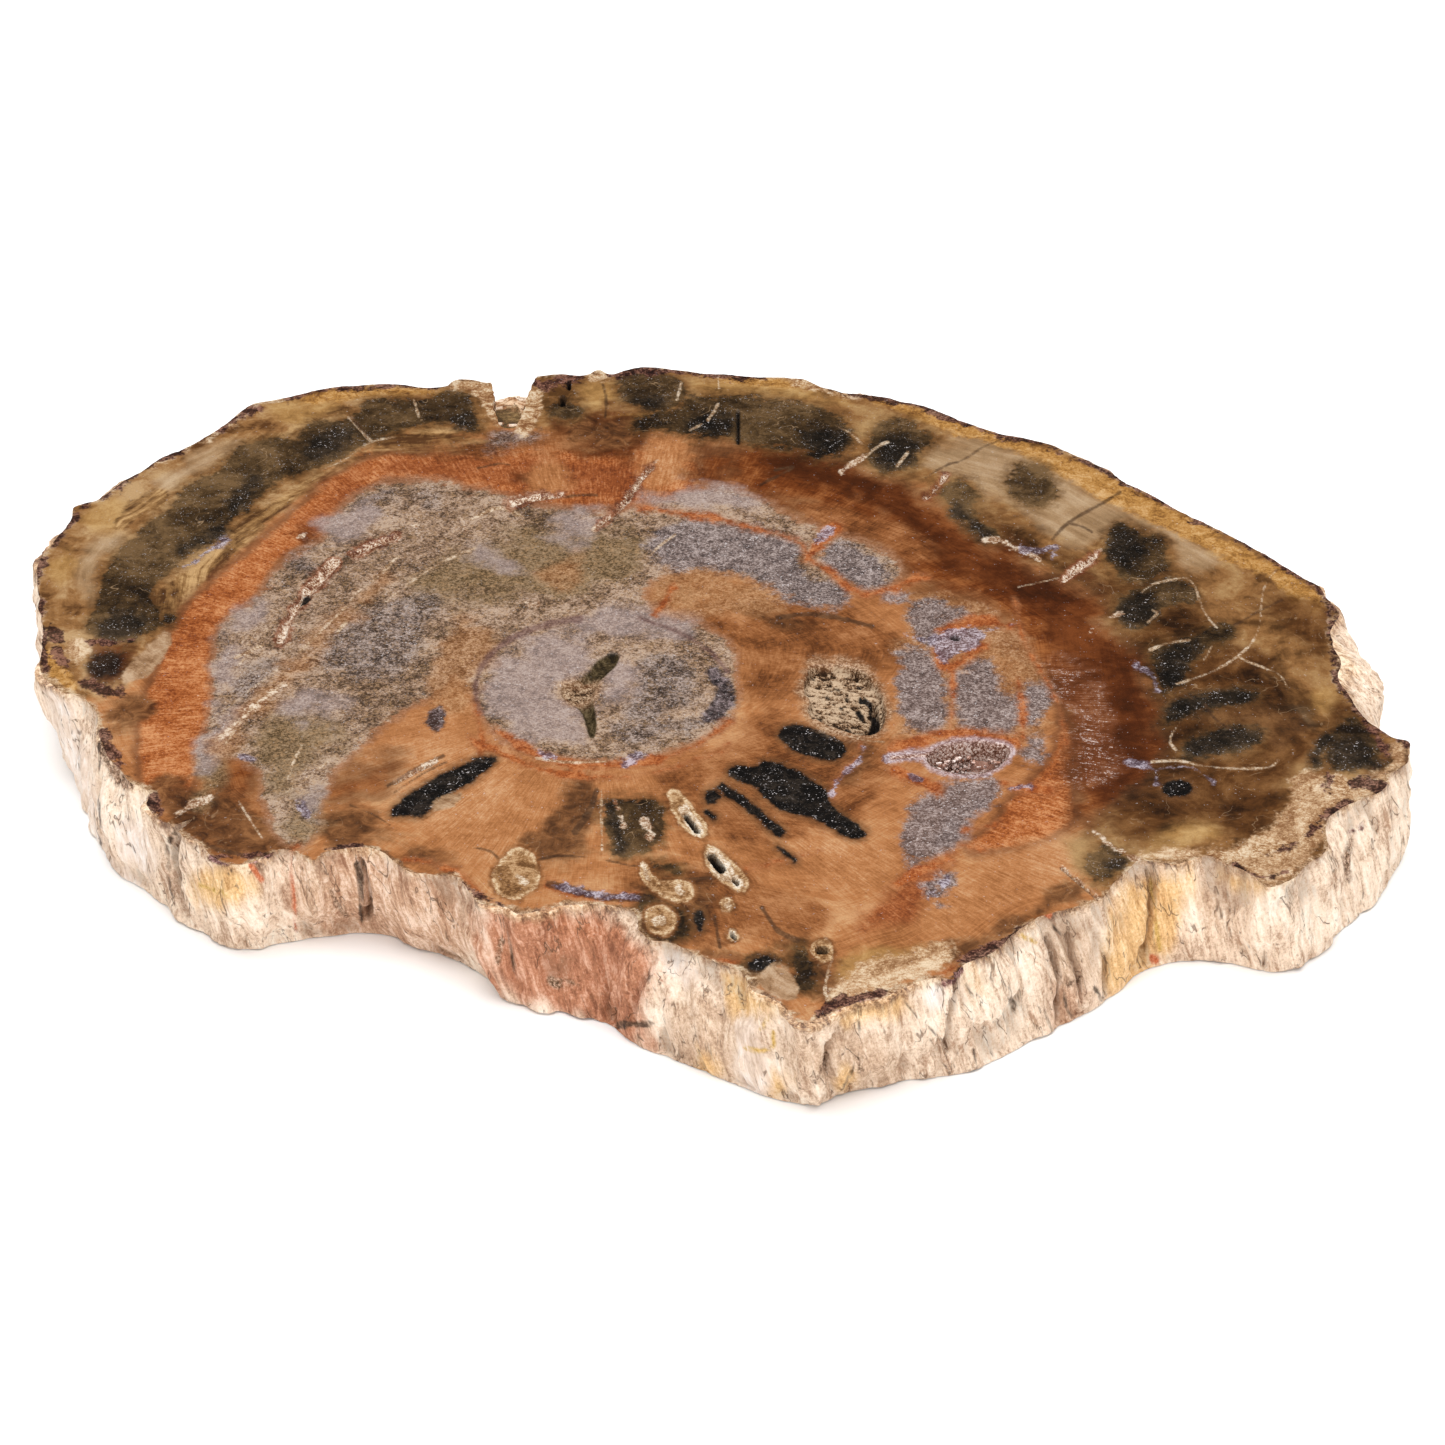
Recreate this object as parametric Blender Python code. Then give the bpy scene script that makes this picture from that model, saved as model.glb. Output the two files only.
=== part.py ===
# A slice of petrified wood: a sawn slab of stone with a polished top, rough bark all round,
# a notch in its back edge, open pockets in its face and a crust of crystals in one of them.
# Metres, +Z up. The origin is under the middle of the slab, on the surface it rests on.

import math

import bmesh
import bpy
from mathutils import Vector, noise

MM = 0.001
SLAB_THICKNESS = 25.0 * MM
TOUCH_GAP = 0.3 * MM
NOISE_SEED = 7
STONE_COLOUR = (0.42, 0.22, 0.11)
STONE_ROUGHNESS = 0.25
QUARTZ_COLOUR = (0.62, 0.47, 0.42)
QUARTZ_ROUGHNESS = 0.2

# The rim of the polished face, clockwise from the notch, in millimetres: x, y, and how far the foot of
# the bark stands outside the rim there (a minus sign where the bark is undercut).
RIM_POINTS = [
    (-45.5, 134, 1), (-39, 135.5, 1), (-33, 135, 1), (-29.5, 138, 0), (-26, 135.5, 0), (-19, 139.5, 0),
    (-11, 138, 1), (0, 135.5, 2), (12.5, 134, 2), (21.5, 133, 2), (27, 128.5, 4), (34, 124.5, 5),
    (41.5, 123, 4), (46.5, 120.5, 3), (54, 117, 2), (61, 110.5, 3), (70.5, 103.5, 3), (80, 99, 2),
    (87, 92.5, 1), (93.5, 86, 1), (99, 78.5, 0), (105.5, 71, 0), (111, 64.5, 0), (117.5, 57, 1),
    (123.5, 50, 1), (130, 42, 1), (136, 33, 2), (139, 28.5, 2), (141, 21, 3), (142.5, 15, 3),
    (140, 8.5, 5), (139.5, -0.5, 6), (140, -7, 6), (138.5, -12, 7), (140.5, -19.5, 5), (142, -26.5, 4),
    (145, -33, 3), (148, -37, 2), (151, -39.5, 1), (149, -48, 1), (144.5, -52, 3), (142.5, -58, 3),
    (138, -61.5, 4), (133, -65, 6), (129, -70.5, 6), (127.5, -81, 1), (123, -86.5, 0), (120, -91, -2),
    (116, -94, -3), (113, -94.5, -5), (111, -91, -4), (108.5, -88.5, -3), (105, -85.5, -1),
    (101.5, -83.5, 1), (95.5, -86, 1), (88.5, -85.5, 2), (86, -88.5, 4), (83, -92.5, 3),
    (80.5, -97.5, 2), (78, -100, 3), (73.5, -102.5, 4), (68.5, -104.5, 5), (65, -106.5, 5),
    (62, -110, 4), (58.5, -115, 3), (55.5, -118.5, 4), (50, -122, 2), (48, -127, -1), (45, -126.5, -1),
    (41, -127.5, -1), (37, -130, -3), (33, -133, -5), (29.5, -133.5, -4), (24, -137, -4), (21, -139, -5),
    (17, -140.5, -5), (14, -135.5, -2), (11, -132.5, 0), (8, -130.5, 1), (6.5, -126.5, 3),
    (4.5, -123.5, 4), (0.5, -121.5, 3), (-5.5, -117, 4), (-9.5, -114.5, 4), (-13, -113.5, 3),
    (-15, -110, 4), (-16.5, -103.5, 6), (-23, -101, 5), (-31, -101, 2), (-38.5, -104, -2),
    (-42, -101.5, -2), (-46.5, -100.5, -4), (-49, -98, -5), (-53, -91, -5), (-58, -90.5, -6),
    (-62.5, -89, -7), (-65.5, -85.5, -7), (-69, -81.5, -6), (-72, -80, -5), (-76, -80.5, -6),
    (-80.5, -82.5, -6), (-82.5, -85, -7), (-89, -81, -4), (-95.5, -85.5, -3), (-98.5, -86.5, -4),
    (-103, -84.5, -4), (-106.5, -78.5, -2), (-111, -75.5, -2), (-113.5, -71.5, -2), (-116.5, -69.5, -2),
    (-119, -64, -1), (-120, -58.5, 2), (-124, -55, 3), (-127.5, -49.5, 3), (-131, -43, 3),
    (-133, -36, 3), (-135, -28, 4), (-137.5, -23, 3), (-141, -19.5, 0), (-143.5, -18.5, -2),
    (-146.5, -14.5, -4), (-149, -10, -5), (-151, -2.5, -4), (-152.5, 8.5, -3), (-154.5, 19.5, -2),
    (-156.5, 31, -2), (-157, 37.5, -2), (-156, 44, -2), (-154.5, 49.5, -1), (-153.5, 55, 0),
    (-152.5, 61.5, 0), (-153, 65.5, 0), (-150.5, 68, 1), (-147, 70, 2), (-142, 79, 3), (-135, 90.5, 4),
    (-130.5, 95, 4), (-126.5, 100, 3), (-122, 106.5, 2), (-119, 113.5, 1), (-115.5, 119.5, 0),
    (-108.5, 122, 1), (-98, 128, 1), (-89.5, 129, 1), (-82, 130, 1), (-70, 128, 1), (-65.5, 132, 0),
    (-62, 132.5, 0), (-57, 131, 0), (-51, 133, 0),
]

# The bark: how finely it is cut, and how deep its flutes and lumps are.
RIM_STEPS = 8
STATION_SPACING = 2.7 * MM
LIP_CLEARANCE = 0.45
BARK_LEVELS = (0.0, 0.08, 0.24, 0.42, 0.60, 0.78, 0.94, 1.0)
BARK_BELLY = 1.0 * MM
FLUTE_DEPTH = 1.5 * MM
FLUTE_WIDTH = 8.0 * MM
FLUTE_STRETCH = 6
FLUTE_SWING = 3
FLUTE_FLOOR = 0.8
STEP_DEPTH = 0.5 * MM
STEP_SIZE = 11.0 * MM
STEP_HEIGHT = 8.8 * MM
STEP_SHARPNESS = 8
LUMP_DEPTH = 1.2 * MM
LUMP_SIZE = 24.0 * MM
LUMP_HEIGHT = 14.4 * MM
LUMP_SWING = 1.6
GRAIN_SLANT = 0.18
RIM_CALM = 0.3
FOOT_SMOOTHING = 3.5 * MM
FOOT_SHARE = 0.9
BARK_SEED = Vector((3.7, 9.1, 5.3))

# A shoulder of bark that swells out under the rim: its middle on the rim in millimetres, how far it reaches
# along the rim, how far it stands out, and the shares of the height over which it swells and fades.
SHOULDER_PLACE = (139.7, -5.0)
SHOULDER_REACH = 31.0 * MM
SHOULDER_SIZE = 7.5 * MM
SHOULDER_ENDS = 1.5
SHOULDER_RISE = 0.25
SHOULDER_CURVE = 0.7
SHOULDER_FADE = 0.8
SHOULDER_FOOT = 0.1

# Open cracks that run down the bark: a place on the rim, width, depth, lowest and highest height, in
# millimetres. The floor takes up this share of the width to either side of the middle.
CRACK_FLOOR = 0.2
BARK_CRACKS = [
    ((-113.5, -72.0), 3.0, 6.0, 5.0, 25.0),
    ((-131.0, -43.0), 1.6, 2.5, 9.0, 24.0),
    ((-73.0, -80.0), 2.2, 3.5, 4.0, 22.0),
    ((-13.0, -113.5), 2.6, 2.5, 4.0, 22.0),
    ((24.0, -137.0), 3.0, 2.0, 2.0, 23.0),
    ((48.5, -126.5), 2.4, 2.0, 6.0, 25.0),
    ((60.0, -113.0), 1.8, 2.0, 8.0, 22.0),
    ((68.5, -104.5), 2.0, 2.5, 1.0, 20.0),
    ((73.5, -102.5), 2.2, 2.5, 3.0, 20.0),
    ((79.5, -98.5), 1.8, 2.0, 2.0, 12.0),
    ((90.0, -85.5), 2.6, 3.0, 3.0, 23.0),
    ((127.5, -81.0), 2.0, 2.0, 6.0, 20.0),
    ((143.0, 15.0), 2.6, 2.5, 2.0, 22.0),
    ((87.0, 92.5), 2.4, 2.5, 2.0, 21.0),
    ((34.0, 124.5), 2.6, 2.5, 3.0, 22.0),
    ((-19.0, 139.5), 2.2, 2.5, 2.0, 23.0),
    ((-82.0, 130.0), 2.4, 3.0, 2.0, 22.0),
    ((-130.5, 95.0), 2.6, 2.5, 3.0, 23.0),
    ((-152.5, 61.5), 2.0, 2.0, 2.0, 22.0),
]

# The slot in the back edge, in plan, and the height of the broken ledge that is left in it.
NOTCH_PLAN = [
    (-57.5, 138), (-55.5, 127), (-55, 118.5), (-54, 111), (-52.5, 106.5),
    (-49.5, 105.5), (-48.5, 110.5), (-47.5, 117), (-46.5, 127), (-44.5, 138),
]
NOTCH_LEDGE = 19.0 * MM
NOTCH_FLOOR_SHARE = 0.9

# Every hollow narrows from this share of its depth down, and its sides waver over this length.
HOLLOW_BEND = 0.45
WAVER_LENGTH = 4.0 * MM
DEFAULT_WAVER = 0.25 * MM

# The open pockets of the polished face, in plan, in millimetres.
SPONGY_PLAN = [
    (19.5, -18), (21, -10), (26, -7), (32.5, -9.5), (39, -17.5), (42, -28),
    (40.5, -36), (36, -37.5), (29.5, -35.5), (22, -31), (20, -26),
]
SPONGY_DEPTH = 3.2 * MM
SPONGY_FLOOR_SHARE = 0.9
SPONGY_WAVER = 0.6 * MM
SPONGY_PIT_PLAN = [(34, -19), (38, -22), (39.5, -28), (37.5, -34.5), (33.5, -35), (34.5, -27)]
SPONGY_PIT_DEPTH = 7.0 * MM
PIT_FLOOR_SHARE = 0.7
DRUSE_PLAN = [
    (45.5, -45), (50, -40.5), (56.5, -39), (62.5, -41), (65, -45), (61.5, -50), (54, -52.5), (48.5, -50.5),
]
DRUSE_DEPTH = 9.0 * MM
DRUSE_FLOOR_SHARE = 0.62
STAR_ARMS = [
    [(-21.5, -3.5), (-24, -9), (-27, -15.5), (-29.5, -19)],
    [(-34, -18.5), (-29.5, -19), (-28, -21.5)],
    [(-28, -21.5), (-26.5, -29), (-25.5, -37.5)],
]
STAR_WIDTH = 3.0 * MM
STAR_DEPTH = 1.6 * MM
SHALLOW_CRACKS = [
    [(-88.5, 39.5), (-92, 30.5), (-95, 22), (-97, 12.5), (-98.5, 4)],
    [(-84.5, 43), (-78, 54.5), (-71, 64.5)],
    [(-51, 69.5), (-44, 71), (-37, 73.5)],
    [(-28, 55.5), (-21.5, 67), (-19, 77), (-13, 89.5)],
    [(50.5, 74.5), (53, 78), (56, 80.5)],
    [(80.5, 32), (84, 36.5), (87.5, 39.5)],
]
SHALLOW_CRACK_WIDTH = 2.4 * MM
SHALLOW_CRACK_DEPTH = 1.1 * MM
FACE_CRACK_FLOOR_SHARE = 0.8
FACE_CRACK_WAVER = 0.1 * MM
CRACK_END_SHARE = 0.35
CRACK_SWELL = 0.3
CRACK_SWELL_RATE = 5.1

# Borer holes and the slit: centre, length, width, bearing of the long side in degrees, depth.
HOLE_FLOOR_SHARE = 0.7
BORED_HOLES = [
    ((-4.4, -70.4), 8.0, 2.0, 111, 6.0),
    ((0.8, -86.0), 8.0, 2.8, 110, 7.0),
    ((4.8, -92.7), 2.4, 1.8, 110, 4.0),
    ((5.9, 107.0), 17.0, 1.2, 90, 5.0),
    ((-38.0, 121.0), 5.0, 1.8, 80, 4.0),
    ((-37.0, 129.0), 3.0, 1.6, 80, 3.5),
    ((4.1, -112.0), 2.4, 2.0, 90, 4.0),
    ((22.0, -117.2), 3.4, 2.4, 20, 4.0),
]

# The crust: its wall, how far its lip lies under the face, the gaps to the pocket as parts of the touch gap,
# the heights of its shoulder outside and inside as parts of the pocket's depth, and its crystals.
CRUST_WALL = 1.3 * MM
CRUST_SINK = 0.8 * MM
CRUST_SIDE_GAP = 1.6
CRUST_FLOOR_GAP = 1.5
CRUST_BRIM_GAP = 1.4
CRUST_BRIM_SINK = 1.4
CRUST_OUTER_SHOULDER = 0.58
CRUST_INNER_SHOULDER = 0.55
CRUST_FOOT_SHARE = 0.5
CRUST_BASIN_SHARE = 0.42
CRUST_FLOOR_WALL = 2.0
CRUST_BASIN_WALL = 1.8
CRUST_SHOULDER_WALL = 1.5
CRYSTAL_HEIGHT = 1.5 * MM
CRYSTAL_LEAST = 0.8
CRYSTAL_SWING = 0.4
CRYSTAL_SPACING = 1.1 * MM
CRUST_SIDE_PARTS = 3
CUTTER_RISE = 4.0 * MM


def clear_scene():
    for old in list(bpy.data.objects):
        bpy.data.objects.remove(old, do_unlink=True)


def stone_material(name, colour, roughness):
    material = bpy.data.materials.new(name)
    material.use_nodes = True
    shader = material.node_tree.nodes["Principled BSDF"]
    shader.inputs["Base Color"].default_value = (*colour, 1.0)
    shader.inputs["Roughness"].default_value = roughness
    shader.inputs["Metallic"].default_value = 0.0
    material.diffuse_color = (*colour, 1.0)
    return material


def new_object(name, bm, material=None):
    mesh = bpy.data.meshes.new(name)
    bm.to_mesh(mesh)
    bm.free()
    made = bpy.data.objects.new(name, mesh)
    bpy.context.scene.collection.objects.link(made)
    if material:
        mesh.materials.append(material)
    return made


def curve_point(before, start, end, after, t):
    """A point on the smooth curve from start to end, for any number of values a point."""
    return [
        0.5 * (2 * b + (c - a) * t + (2 * a - 5 * b + 4 * c - d) * t * t + (3 * b - a - 3 * c + d) * t ** 3)
        for a, b, c, d in zip(before, start, end, after)
    ]


def trace_rim():
    """Points close together round the rim, as (distance along it, x, y, lean of the bark), in metres."""
    count = len(RIM_POINTS)
    fine = []
    for i in range(count):
        around = [RIM_POINTS[(i + k) % count] for k in (-1, 0, 1, 2)]
        for step in range(RIM_STEPS):
            x, y, lean = curve_point(*around, step / RIM_STEPS)
            fine.append((x * MM, y * MM, lean * MM))
    traced = []
    travelled = 0.0
    for i, (x, y, lean) in enumerate(fine):
        if i:
            travelled += math.dist((x, y), fine[i - 1][:2])
        traced.append((travelled, x, y, lean))
    round_length = travelled + math.dist(fine[0][:2], fine[-1][:2])
    return traced, round_length


def nearest_distance(traced, place):
    """How far along the rim a place is."""
    return min(traced, key=lambda point: math.dist(point[1:3], place))[0]


def rim_at(traced, round_length, distance):
    """x, y and lean at a distance along the rim."""
    distance %= round_length
    low, high = 0, len(traced) - 1
    while high - low > 1:
        middle = (low + high) // 2
        if traced[middle][0] <= distance:
            low = middle
        else:
            high = middle
    start = traced[low]
    end = traced[high]
    share = min(1.0, (distance - start[0]) / max(end[0] - start[0], 1e-9))
    return [a + (b - a) * share for a, b in zip(start[1:], end[1:])]


def bark_stations(cracks, round_length):
    """Distances along the rim where the bark has a column of points: evenly, and at each crack's lips."""
    lip_places = [(at + side * width / 2) % round_length for at, width, *_ in cracks for side in (-1, 0, 1)]
    count = round(round_length / STATION_SPACING)
    even = [i * round_length / count for i in range(count)]
    clear = [d for d in even if all(abs(d - lip) > STATION_SPACING * LIP_CLEARANCE for lip in lip_places)]
    return sorted(clear + lip_places)


def bark_relief(x, y, height, share):
    """How far the bark stands out at a point: plates with grooves, broken steps and broad lumps.
    The grooves run along the grain of the wood, which leans a little."""
    along = (x + height * GRAIN_SLANT) / FLUTE_WIDTH
    down = height / (FLUTE_WIDTH * FLUTE_STRETCH)
    groove = abs(noise.noise(Vector((along, y / FLUTE_WIDTH, down)) + BARK_SEED))
    step = noise.noise(Vector((x / STEP_SIZE, y / STEP_SIZE, height / STEP_HEIGHT)) + BARK_SEED * 2)
    lump = noise.noise(Vector((x / LUMP_SIZE, y / LUMP_SIZE, height / LUMP_HEIGHT)) - BARK_SEED)
    relief = (groove * FLUTE_SWING - FLUTE_FLOOR) * FLUTE_DEPTH + lump * LUMP_SWING * LUMP_DEPTH
    relief += STEP_DEPTH * max(-1.0, min(1.0, step * STEP_SHARPNESS))
    return relief * (RIM_CALM if share in (0.0, 1.0) else 1.0)


def shoulder_relief(aside, share):
    """How far the shoulder stands out; aside is the distance along the rim from its middle."""
    along = max(0.0, 1 - (aside / SHOULDER_REACH) ** 2) ** SHOULDER_ENDS
    swell = min(1.0, (1 - share) / SHOULDER_RISE) ** SHOULDER_CURVE
    fade = SHOULDER_FOOT + (1 - SHOULDER_FOOT) * min(1.0, share / SHOULDER_FADE)
    return SHOULDER_SIZE * along * swell * fade


def stacked_rings(bm, sides, levels):
    """A tube of rings one above the other, every ring's points in the same order. Places come later."""
    rings = [bmesh.ops.create_circle(bm, cap_ends=False, radius=1.0, segments=sides)["verts"]]
    for _ in range(levels - 1):
        edges = [e for e in bm.edges if all(v in rings[-1] for v in e.verts)]
        grown = bmesh.ops.extrude_edge_only(bm, edges=edges)["geom"]
        made = {v for v in grown if isinstance(v, bmesh.types.BMVert)}
        partners = []
        for v in rings[-1]:
            partners.append(next(e.other_vert(v) for e in v.link_edges if e.other_vert(v) in made))
        rings.append(partners)
    return rings


def close_rings(bm):
    """Caps both ends of a tube of rings and points its faces outwards."""
    rims = [e for e in bm.edges if e.is_boundary]
    caps = bmesh.ops.holes_fill(bm, edges=rims, sides=0)["faces"]
    bmesh.ops.recalc_face_normals(bm, faces=bm.faces)
    return sorted(caps, key=lambda cap: cap.calc_center_median().z)


def slab_body():
    """The sawn slab: a ring of bark points at each height, closed by a flat top and a flat foot."""
    traced, round_length = trace_rim()
    cracks = []
    for place, width, depth, low, high in BARK_CRACKS:
        at = nearest_distance(traced, (place[0] * MM, place[1] * MM))
        cracks.append((at, width * MM, depth * MM, low * MM, high * MM))
    stations = bark_stations(cracks, round_length)
    shoulder = nearest_distance(traced, (SHOULDER_PLACE[0] * MM, SHOULDER_PLACE[1] * MM))
    bm = bmesh.new()
    rings = stacked_rings(bm, len(stations), len(BARK_LEVELS))
    for column, distance in enumerate(stations):
        around = [rim_at(traced, round_length, distance + k * FOOT_SMOOTHING) for k in (-2, -1, 0, 1, 2)]
        rim = Vector(around[2][:2])
        foot = sum((Vector(point[:2]) for point in around), Vector((0.0, 0.0))) / len(around)
        lean = sum(point[2] for point in around) / len(around)
        ahead = Vector(around[4][:2]) - Vector(around[0][:2])
        outward = Vector((-ahead.y, ahead.x)).normalized()
        for share, points in zip(BARK_LEVELS, rings):
            height = share * SLAB_THICKNESS
            out = lean * (1 - share) + BARK_BELLY * 4 * share * (1 - share)
            out += bark_relief(rim.x, rim.y, height, share)
            out += shoulder_relief(distance - shoulder, share)
            for at, width, depth, low, high in cracks:
                if abs(distance - at) < width * CRACK_FLOOR and low <= height <= high:
                    out -= depth
            place = rim.lerp(foot, (1 - share) * FOOT_SHARE) + outward * out
            points[column].co = (place.x, place.y, height)
    close_rings(bm)
    bmesh.ops.triangulate(bm, faces=bm.faces, ngon_method="EAR_CLIP")
    return bm


def hollow_cutter(name, plan, depth, floor_share, waver=DEFAULT_WAVER):
    """A cutter for a hollow of a given plan, narrower at its lumpy floor. Its sides are a little ragged."""
    corners = [Vector((x * MM, y * MM)) for x, y in plan]
    middle = sum(corners, Vector((0.0, 0.0))) / len(corners)
    profile = ((-CUTTER_RISE, 1.0), (depth * HOLLOW_BEND, 1.0), (depth, floor_share))
    bm = bmesh.new()
    rings = stacked_rings(bm, len(corners), len(profile))
    for (drop, share), ring in zip(profile, rings):
        for corner, v in zip(corners, ring):
            place = middle + (corner - middle) * share
            shift = noise.noise_vector(Vector((place.x, place.y, drop)) / WAVER_LENGTH) * waver
            v.co = (place.x + shift.x, place.y + shift.y, SLAB_THICKNESS - drop + shift.z)
    close_rings(bm)
    bmesh.ops.triangulate(bm, faces=bm.faces, ngon_method="EAR_CLIP")
    return as_cutter(new_object(name, bm))


def as_cutter(made):
    made.hide_render = True
    made.display_type = "WIRE"
    return made


def crack_plan(path, width):
    """The plan of a crack that opens and closes along a path, in millimetres."""
    places = [Vector(p) for p in path]
    left, right = [], []
    for i, place in enumerate(places):
        ahead = places[min(i + 1, len(places) - 1)] - places[max(i - 1, 0)]
        across = Vector((-ahead.y, ahead.x)).normalized()
        end = i in (0, len(places) - 1)
        swell = 1.0 + CRACK_SWELL * math.sin(CRACK_SWELL_RATE * i + place.x)
        half = width / MM / 2 * (CRACK_END_SHARE if end else swell)
        left.append(place + across * half)
        right.append(place - across * half)
    return [(p.x, p.y) for p in left + right[::-1]]


def oval_plan(centre, length, width, bearing, sides=8):
    """The plan of a slot with round ends, its long side at a bearing."""
    turn = math.radians(bearing)
    plan = []
    for i in range(sides):
        angle = 2 * math.pi * (i + 0.5) / sides
        along = math.cos(angle) * length / 2
        across = math.sin(angle) * width / 2
        x = centre[0] + along * math.cos(turn) - across * math.sin(turn)
        y = centre[1] + along * math.sin(turn) + across * math.cos(turn)
        plan.append((x, y))
    return plan


def cut(body, cutter):
    """Cuts a hollow out of the body and drops the cutter."""
    modifier = body.modifiers.new(cutter.name, "BOOLEAN")
    modifier.object = cutter
    modifier.operation = "DIFFERENCE"
    modifier.solver = "EXACT"
    bpy.context.view_layer.update()
    evaluated = body.evaluated_get(bpy.context.evaluated_depsgraph_get())
    mesh = bpy.data.meshes.new_from_object(evaluated)
    body.modifiers.clear()
    old = body.data
    body.data = mesh
    bpy.data.meshes.remove(old)
    bpy.data.objects.remove(cutter, do_unlink=True)


def petrified_wood_slice():
    stone = stone_material("polished petrified wood", STONE_COLOUR, STONE_ROUGHNESS)
    body = new_object("petrified_wood_slice", slab_body(), stone)
    cut(body, hollow_cutter("notch", NOTCH_PLAN, SLAB_THICKNESS - NOTCH_LEDGE, NOTCH_FLOOR_SHARE))
    cut(body, hollow_cutter("spongy pocket", SPONGY_PLAN, SPONGY_DEPTH, SPONGY_FLOOR_SHARE, SPONGY_WAVER))
    cut(body, hollow_cutter("deep end of the pocket", SPONGY_PIT_PLAN, SPONGY_PIT_DEPTH, PIT_FLOOR_SHARE))
    cut(body, hollow_cutter("druse pocket", DRUSE_PLAN, DRUSE_DEPTH, DRUSE_FLOOR_SHARE, 0.0))
    for number, arm in enumerate(STAR_ARMS):
        plan = crack_plan(arm, STAR_WIDTH)
        name = f"star crack {number}"
        cut(body, hollow_cutter(name, plan, STAR_DEPTH, FACE_CRACK_FLOOR_SHARE, FACE_CRACK_WAVER))
    for number, path in enumerate(SHALLOW_CRACKS):
        plan = crack_plan(path, SHALLOW_CRACK_WIDTH)
        name = f"shallow crack {number}"
        cut(body, hollow_cutter(name, plan, SHALLOW_CRACK_DEPTH, FACE_CRACK_FLOOR_SHARE, FACE_CRACK_WAVER))
    for number, (centre, length, width, bearing, depth) in enumerate(BORED_HOLES):
        plan = oval_plan(centre, length, width, bearing)
        cut(body, hollow_cutter(f"bored hole {number}", plan, depth * MM, HOLE_FLOOR_SHARE, 0.0))
    return body


def crystal_crust():
    """A bowl that lines the druse pocket, its inner side grown with four-sided crystal points."""
    corners = [Vector((x * MM, y * MM)) for x, y in DRUSE_PLAN]
    middle = sum(corners, Vector((0.0, 0.0))) / len(corners)
    sides = zip(corners, corners[1:] + corners[:1])
    plan = [a.lerp(b, k / CRUST_SIDE_PARTS) for a, b in sides for k in range(CRUST_SIDE_PARTS)]
    reach = sum((p - middle).length for p in corners) / len(corners)
    gap = TOUCH_GAP * CRUST_SIDE_GAP / reach
    wall = CRUST_WALL / reach
    floor = SLAB_THICKNESS - DRUSE_DEPTH
    foot = floor + TOUCH_GAP * CRUST_FLOOR_GAP
    flat = DRUSE_FLOOR_SHARE - gap
    brim = 1 - gap * CRUST_BRIM_GAP
    profile = [
        (flat * CRUST_FOOT_SHARE, foot),
        (flat, foot),
        (brim, floor + DRUSE_DEPTH * CRUST_OUTER_SHOULDER),
        (brim, SLAB_THICKNESS - CRUST_SINK),
        (brim - wall, SLAB_THICKNESS - CRUST_SINK * CRUST_BRIM_SINK),
        (brim - wall * CRUST_SHOULDER_WALL, floor + DRUSE_DEPTH * CRUST_INNER_SHOULDER),
        (flat - wall / 2, floor + CRUST_WALL * CRUST_FLOOR_WALL),
        (flat * CRUST_BASIN_SHARE, floor + CRUST_WALL * CRUST_BASIN_WALL),
    ]
    bm = bmesh.new()
    rings = stacked_rings(bm, len(plan), len(profile))
    for (share, height), ring in zip(profile, rings):
        for corner, v in zip(plan, ring):
            place = middle + (corner - middle) * share
            v.co = (place.x, place.y, height)
    grown_rings = set(rings[4] + rings[5] + rings[6] + rings[7])
    grown = [f for f in bm.faces if all(v in grown_rings for v in f.verts)]
    grown.append(close_rings(bm)[1])
    for face in grown:
        swing = noise.noise(face.calc_center_median() / CRYSTAL_SPACING)
        bmesh.ops.poke(bm, faces=[face], offset=CRYSTAL_HEIGHT * (CRYSTAL_LEAST + CRYSTAL_SWING * swing))
    bmesh.ops.triangulate(bm, faces=bm.faces, ngon_method="EAR_CLIP")
    quartz = stone_material("quartz crystals", QUARTZ_COLOUR, QUARTZ_ROUGHNESS)
    return new_object("crystal_crust", bm, quartz)


def centre_on_origin(pieces):
    """Moves every mesh so that the middle of the slab's box stands over the origin."""
    places = [v.co for v in pieces[0].data.vertices]
    shift_x = -(min(p.x for p in places) + max(p.x for p in places)) / 2
    shift_y = -(min(p.y for p in places) + max(p.y for p in places)) / 2
    for piece in pieces:
        for v in piece.data.vertices:
            v.co.x += shift_x
            v.co.y += shift_y
    print(f"slab moved by {shift_x / MM:.3f} and {shift_y / MM:.3f} mm")


clear_scene()
noise.seed_set(NOISE_SEED)
centre_on_origin([petrified_wood_slice(), crystal_crust()])
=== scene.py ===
import math

import bmesh
import bpy
import numpy as np
from mathutils import Matrix, Vector, noise


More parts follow.
